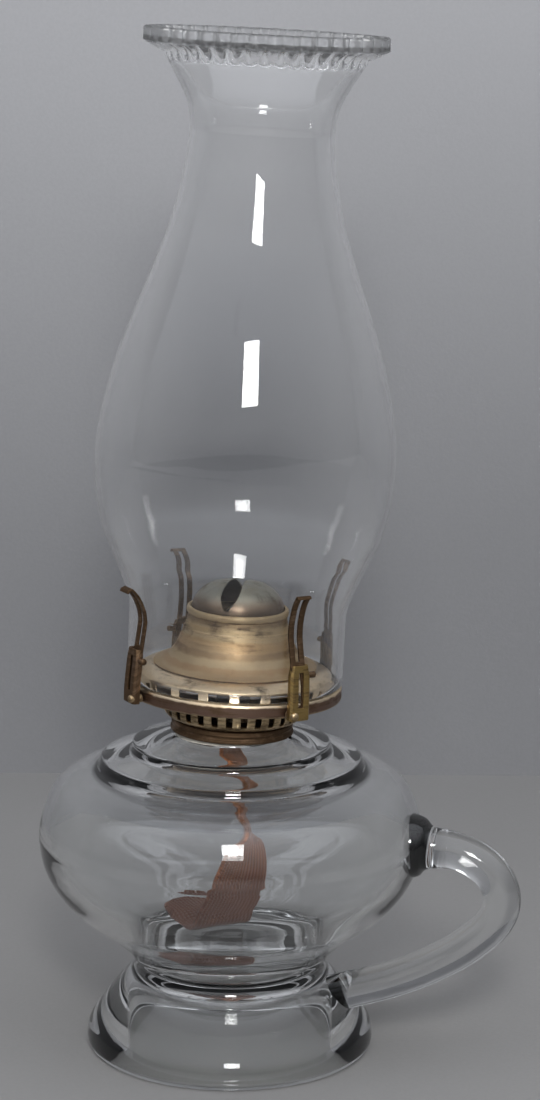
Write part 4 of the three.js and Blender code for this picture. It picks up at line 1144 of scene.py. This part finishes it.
class LAMP_OT_prongs(bpy.types.Operator):
    """Build the four spring prongs and their rivets"""

    bl_idname = "finger_lamp.prongs"
    bl_label = "Spring prongs"

    def execute(self, context):
        s = context.scene.lamp_burner
        for name, (degrees, height_share, tilt, rivet_side) in PRONGS.items():
            azimuth = math.radians(degrees)
            points, faces = prong_legs(s, height_share)
            above = np.maximum(points[:, 2] - s.deck_height - 0.006, 0)
            legs = points + above[:, None] * (0, tilt, 0), faces
            legs = thicken(leaned_object("legs", swung(legs, azimuth)), SHEET, LEG_EDGE)
            clip = thicken(leaned_object("clip", swung(prong_clip(s), azimuth)), THIN_SHEET)
            first, count = len(legs.data.polygons), len(clip.data.polygons)
            level = s.deck_height + STUD_RISE
            pin = bar((0.0392, 0.0034, level), (0.0392, 0.0060, level), STUD_RADIUS, STUD_BULGE)
            stud = leaned_object("stud", swung(pin, azimuth))
            spring = self.merged([legs, clip, stud], "spring_prong_" + name)
            finish_piece(spring, brass("Dark brass"), "spring_" + name, ["prong_" + name])
            if name == "front_right":
                self.wear_clip(spring, first, count)
            low, aside = s.deck_height - FOOT_DROP + RIVET_RISE, RIVET_ASIDE * rivet_side
            head = bar((0.0377, aside, low), (0.0417, aside, low), RIVET_RADIUS, RIVET_BULGE)
            rivet = leaned_object("spring_rivet_" + name, swung(head, azimuth))
            node = "prong_rivet_" + name
            finish_piece(rivet, brass("Worn brass"), "spring_" + name, [node])
        return {"FINISHED"}

    def wear_clip(self, spring, first, count):
        """Gives the clip's faces, which follow those of the legs, the worn olive brass."""
        spring.data.materials.append(brass("Olive brass"))
        index = np.zeros(len(spring.data.polygons), np.int32)
        index[first:first + count] = 1
        spring.data.polygons.foreach_set("material_index", index)

    def merged(self, objects, name):
        bm = bmesh.new()
        for obj in objects:
            bm.from_mesh(obj.data)
        mesh = bpy.data.meshes.new(name)
        bm.to_mesh(mesh)
        bm.free()
        discard(objects)
        return linked(name, mesh)


# Wick

TUBE_FOOT = 0.0035
TAIL_BEND = 0.007
THREAD_ACROSS, THREAD_ALONG, THREAD_BULGE = 0.0016, 0.0013, 0.0002
ROUNDED_END = 0.009
PLACE_DIGITS = 6


def wick_path(s):
    """The wick's middle line, the direction of its width and the direction of its face, from its
    top to the end of its tail: straight in the tube, swaying and turning below it, then round a
    quarter circle towards the floor and straight out, rising a little."""
    sizes = bpy.context.scene.lamp_burner
    out = np.array([math.cos(sizes.lean_azimuth), math.sin(sizes.lean_azimuth), 0])
    bend, rise, tube_end = TAIL_BEND, math.atan2(s.tail_rise, s.tail), TUBE_FOOT + s.straight
    drop = s.drop - tube_end - bend
    sway = curve_through(WICK_SWAY_SHARES, 160)
    t = sway[:, 0]
    hang = out * (sway[:, 1:] * s.sway)
    hang[:, 2] = -tube_end - t * drop
    turn = math.pi / 2 + s.twist * np.interp(t, *curve_through(WICK_TURN_SHARES, 90).T)
    tube_part = np.linspace(s.top, -tube_end, 60, endpoint=False)[:, None] * [[0, 0, 1.0]]
    foot, last = hang[-1], turn[-1]
    away = np.array([-math.sin(last), math.cos(last), 0])
    sweep = np.linspace(0, math.pi / 2 + rise, 50)[1:, None]
    curve = foot + away * bend * (1 - np.cos(sweep)) - [[0, 0, bend]] * np.sin(sweep)
    way = away * math.sin(math.pi / 2 + rise) + np.array([0, 0, -math.cos(math.pi / 2 + rise)])
    tail = curve[-1] + way * np.linspace(0, s.tail / math.cos(rise), 60)[1:, None]
    path = np.concatenate([tube_part, hang, curve, tail])
    turns = np.concatenate([np.full(60, math.pi / 2), turn, np.full(len(curve) + len(tail), last)])
    width = np.stack([np.cos(turns), np.sin(turns), np.zeros(len(turns))], 1)
    return path, width, unit(np.cross(width, unit(np.gradient(path, axis=0))))


def wick_surface(s):
    """A rounded strap along the wick's path, raised by its weave: two slanting sets of threads
    that meet in a herringbone down the middle, each thread a small bulge. Also gives each point's
    counts of threads, across and along."""
    lines = wick_path(s)
    distance = np.concatenate([[0], np.cumsum(np.linalg.norm(np.diff(lines[0], axis=0), axis=1))])
    even = np.linspace(0, distance[-1], 620)
    path, width, face = (
        np.stack([np.interp(even, distance, column) for column in line.T], 1) for line in lines)
    angle = around(72)
    across = np.sign(np.cos(angle)) * np.abs(np.cos(angle)) ** 0.35 * (s.width / 2 - THREAD_BULGE)
    left = np.clip((even[-1] - even) / ROUNDED_END, 0, 1)
    across = across * np.sqrt(left * (2 - left) + 0.01 * (1 - left))[:, None]
    deep = np.sign(np.sin(angle)) * np.abs(np.sin(angle)) ** 0.6 * (s.thickness / 2 - THREAD_BULGE)
    u = across / THREAD_ACROSS
    v = even[:, None] / THREAD_ALONG + np.abs(u)
    weave = np.sin(v * np.pi) ** 2 * np.abs(np.sin(u * np.pi)) ** 0.5
    raised = deep + np.sign(deep) * weave * THREAD_BULGE
    points = path[:, None] + width[:, None] * across[..., None] + face[:, None] * raised[..., None]
    return capped(path, points), u, v


class LAMP_OT_wick(bpy.types.Operator):
    """Build the woven wick"""

    bl_idname = "finger_lamp.wick"
    bl_label = "Wick"

    def execute(self, context):
        size = context.scene.lamp_wick
        points, u, v = wick_surface(size)
        obj = leaned_object("woven_wick", skin(points))
        finish_piece(obj, wick_cotton(size.top), "wick_strap", ["wick"], 180)
        length = np.linalg.norm(np.diff(wick_path(size)[0], axis=0), axis=1).sum()
        self.lay_threads(obj, points, u, v)
        return {"FINISHED"}

    def lay_threads(self, obj, points, u, v):
        """Gives each corner the thread counts of the grid point that lies where the corner lies."""
        uv = np.stack([u, v], 2)
        uv = np.concatenate([uv[:1], uv, uv[-1:]]).reshape(-1, 2)
        mesh = obj.data
        co = np.empty(len(mesh.vertices) * 3)
        mesh.vertices.foreach_get("co", co)
        places = leaned((points.reshape(-1, 3), None))[0][::-1]
        both = np.round(np.concatenate([places, co.reshape(-1, 3)]), PLACE_DIGITS)
        _, first, same = np.unique(both, axis=0, return_index=True, return_inverse=True)
        found = np.maximum(len(places) - 1 - first[same.ravel()[len(places):]], 0)
        corner = np.empty(len(mesh.loops), np.int32)
        mesh.loops.foreach_get("vertex_index", corner)
        layer = mesh.uv_layers.new(name="Threads")
        layer.data.foreach_set("uv", uv[found[corner]].astype(np.float32).ravel())


# Chimney

SWELL_DEPTH, SWELL_SPREAD = 0.003, 0.0022
CRIMP_DROP, CRIMP_FADE = 0.01, 0.0055


def chimney_curve(s):
    """The outside of the chimney as (radius, height) from its foot to its rim."""
    band = s.height - s.crown_band
    fitter, widest = (s.fitter_radius, s.fitter_height), (s.bulb_radius, s.bulb_height)
    lower = stretched(LOWER_BULB_SHARES, fitter, widest, 50)
    corners = (s.throat_radius, s.bulb_height), (s.bulb_radius, s.throat_height)
    upper = stretched(UPPER_BULB_SHARES, *corners, 70)
    flare = stretched(FLARE_SHARES, (s.throat_radius, s.throat_height), (s.crown_radius, band), 44)
    rim = np.stack([np.full(8, s.crown_radius), np.linspace(band, s.height - 0.0006, 9)[1:]], 1)
    heights = np.linspace(0.0004, s.fitter_height, 6, endpoint=False)
    foot = np.stack([np.full(6, s.fitter_radius), heights], 1)
    return np.concatenate([foot, lower, upper[1:], flare[1:], rim])


class LAMP_OT_chimney(bpy.types.Operator):
    """Build the blown glass chimney with its crimped crown"""

    bl_idname = "finger_lamp.chimney"
    bl_label = "Chimney"

    def execute(self, context):
        s, deck = context.scene.lamp_chimney, context.scene.lamp_burner.deck_height
        outside = chimney_curve(s)
        swell = np.exp(-(((outside[:, 1] - s.height + s.crown_band + SWELL_DEPTH) / SWELL_SPREAD) ** 2))
        inside = moved_sideways(outside, s.wall + s.crown_swell * swell)[::-1]
        outline = np.concatenate([
            outside, [(s.crown_radius - k * s.wall, s.height) for k in (0.3, 0.7)],
            inside, [(s.fitter_radius - k * s.wall, 0) for k in (0.7, 0.3)]])
        outline = outline + (0, deck + SEAM)
        angles = around(s.crimps * 10)
        start = deck + SEAM + s.height - CRIMP_DROP
        strength = np.clip((outline[:, 1:] - start) / CRIMP_FADE, 0, 1)
        strength = strength**2 * (3 - 2 * strength)
        crimp = strength * (s.crimp_depth * np.cos(s.crimps * angles))
        obj = leaned_object("blown_chimney", skin(turned(outline, angles, crimp), rows_close=True))
        band = deck + s.height - s.crown_band
        rim = (band - 0.006, band + 0.001)
        clear = glass("Blown glass", context.scene.lamp_colours.chimney_glass, 22.0, 0.03, 0.08, 0.07, rim)
        finish_piece(obj, clear, "chimney_glass", ["chimney"], 60)
        return {"FINISHED"}


# Stage

FLOOR_SINK = 0.0003
FLOOR_REACH = 3
WALL_HEIGHT = 2.4
AIM_HEIGHT = 0.18
FLASH_ASIDE, FLASH_RISE = 0.03, 0.62
# Each lamp: its name, its distance in front of the lamp's axis, its sides and its power in watts.
FLASHES = (("flash", 1.25, (0.13, 0.2), 5.2), ("flash_glow", 1.26, (0.3, 0.34), 6.2))


class LAMP_OT_stage(bpy.types.Operator):
    """Set up the floor, the backdrop, the light and the camera"""

    bl_idname = "finger_lamp.stage"
    bl_label = "Stage"

    def execute(self, context):
        s = context.scene.lamp_stage
        away = Vector((-math.sin(s.azimuth), math.cos(s.azimuth), 0))
        side = Vector((math.cos(s.azimuth), math.sin(s.azimuth), 0))
        self.sheets(s, away, side)
        self.lights(away, side)
        self.camera(context, s, away, side)
        return {"FINISHED"}

    def sheets(self, s, away, side):
        centre, wide = Vector((LAMP_AXIS, 0, -FLOOR_SINK)), side * FLOOR_REACH
        near, far = centre - away * FLOOR_REACH, centre + away * s.wall_distance
        up = Vector((0, 0, WALL_HEIGHT))
        floor = [near - wide, near + wide, far + wide, far - wide]
        wall = [far - wide, far + wide, far + wide + up, far - wide + up]
        # The wall turns to its painted light colour higher up, which is painted light on the backdrop; the
        # floor keeps one tone.
        looks = (("stage_floor", floor, s.floor_colour, s.floor_colour),
                 ("stage_wall", wall, s.wall_colour, s.wall_top_painted_light_colour))
        for name, corners, tone, painted_light_top_tone in looks:
            mesh = bpy.data.meshes.new(name)
            mesh.from_pydata([c[:] for c in corners], [], [(0, 1, 2, 3)])
            mesh.materials.append(stage_paper(name, tone, painted_light_top_tone))
            obj = linked(name, mesh)

    def lights(self, away, side):
        world = bpy.data.worlds.new("Studio")
        world.use_nodes = True
        tree = world.node_tree
        up = height_of(tree, add(tree, "ShaderNodeTexCoord").outputs["Generated"])
        fill(tree, tree.nodes["Background"], {
            "Color": (0.9, 0.93, 1.0, 1), "Strength": ramp(tree, up, 0.0, 1.0, 0.1, 1.7),
        })
        bpy.context.scene.world = world
        centre = Vector((LAMP_AXIS, 0, AIM_HEIGHT))
        for name, distance, size, power in FLASHES:
            data = bpy.data.lights.new(name, "AREA")
            data.shape, data.size, data.size_y, data.energy = "RECTANGLE", *size, power
            lamp = linked(name, data)
            lamp.location = centre - away * distance + side * FLASH_ASIDE + Vector((0, 0, FLASH_RISE))
            lamp.rotation_euler = (centre - lamp.location).to_track_quat("-Z", "Y").to_euler()

    def camera(self, context, s, away, side):
        """The camera looks along away, turned right by yaw, down by pitch and over by roll."""
        data = bpy.data.cameras.new("camera")
        data.sensor_fit, data.sensor_width, data.lens = "AUTO", 36.0, s.lens
        data.clip_start, data.clip_end = 0.05, 20
        camera = linked("camera", data)
        ahead = away * math.cos(s.yaw) + side * math.sin(s.yaw)
        right = side * math.cos(s.yaw) - away * math.sin(s.yaw)
        look = ahead * math.cos(s.pitch) - Vector((0, 0, math.sin(s.pitch)))
        up = right.cross(look)
        tipped_right = right * math.cos(s.roll) + up * math.sin(s.roll)
        tipped_up = up * math.cos(s.roll) - right * math.sin(s.roll)
        place = Vector((LAMP_AXIS, 0, 0)) - away * s.distance + Vector((0, 0, s.camera_height))
        turn = Matrix((tipped_right, tipped_up, -look)).transposed()
        camera.matrix_world = Matrix.Translation(place) @ turn.to_4x4()
        context.scene.camera = camera
        context.scene.view_settings.view_transform = "Standard"


OPERATORS = (
    LAMP_OT_font, LAMP_OT_collar, LAMP_OT_burner_base, LAMP_OT_cone, LAMP_OT_raiser, LAMP_OT_prongs,
    LAMP_OT_wick, LAMP_OT_chimney, LAMP_OT_stage,
)
SETTINGS = {
    "lamp_font": FontSizes, "lamp_burner": BurnerSizes, "lamp_chimney": ChimneySizes,
    "lamp_wick": WickSizes, "lamp_colours": LampColours, "lamp_stage": StageSettings,
}


class LAMP_PT_panel(bpy.types.Panel):
    bl_idname = "LAMP_PT_panel"
    bl_label = "Finger lamp"
    bl_space_type = "VIEW_3D"
    bl_region_type = "UI"
    bl_category = "Finger lamp"

    def draw(self, context):
        for operator in OPERATORS:
            self.layout.operator(operator.bl_idname)
        for name in SETTINGS:
            box = self.layout.box()
            group = getattr(context.scene, name)
            for key in group.bl_rna.properties.keys():
                if key not in ("rna_type", "name"):
                    box.prop(group, key)


CLASSES = (*SETTINGS.values(), *OPERATORS, LAMP_PT_panel)


def register():
    for cls in CLASSES:
        bpy.utils.register_class(cls)
    for name, cls in SETTINGS.items():
        setattr(bpy.types.Scene, name, PointerProperty(type=cls))


def unregister():
    for name in SETTINGS:
        delattr(bpy.types.Scene, name)
    for cls in reversed(CLASSES):
        bpy.utils.unregister_class(cls)


def main():
    register()
    for operator in OPERATORS:
        group, name = operator.bl_idname.split(".")
        getattr(getattr(bpy.ops, group), name)()


if __name__ == "__main__":
    main()
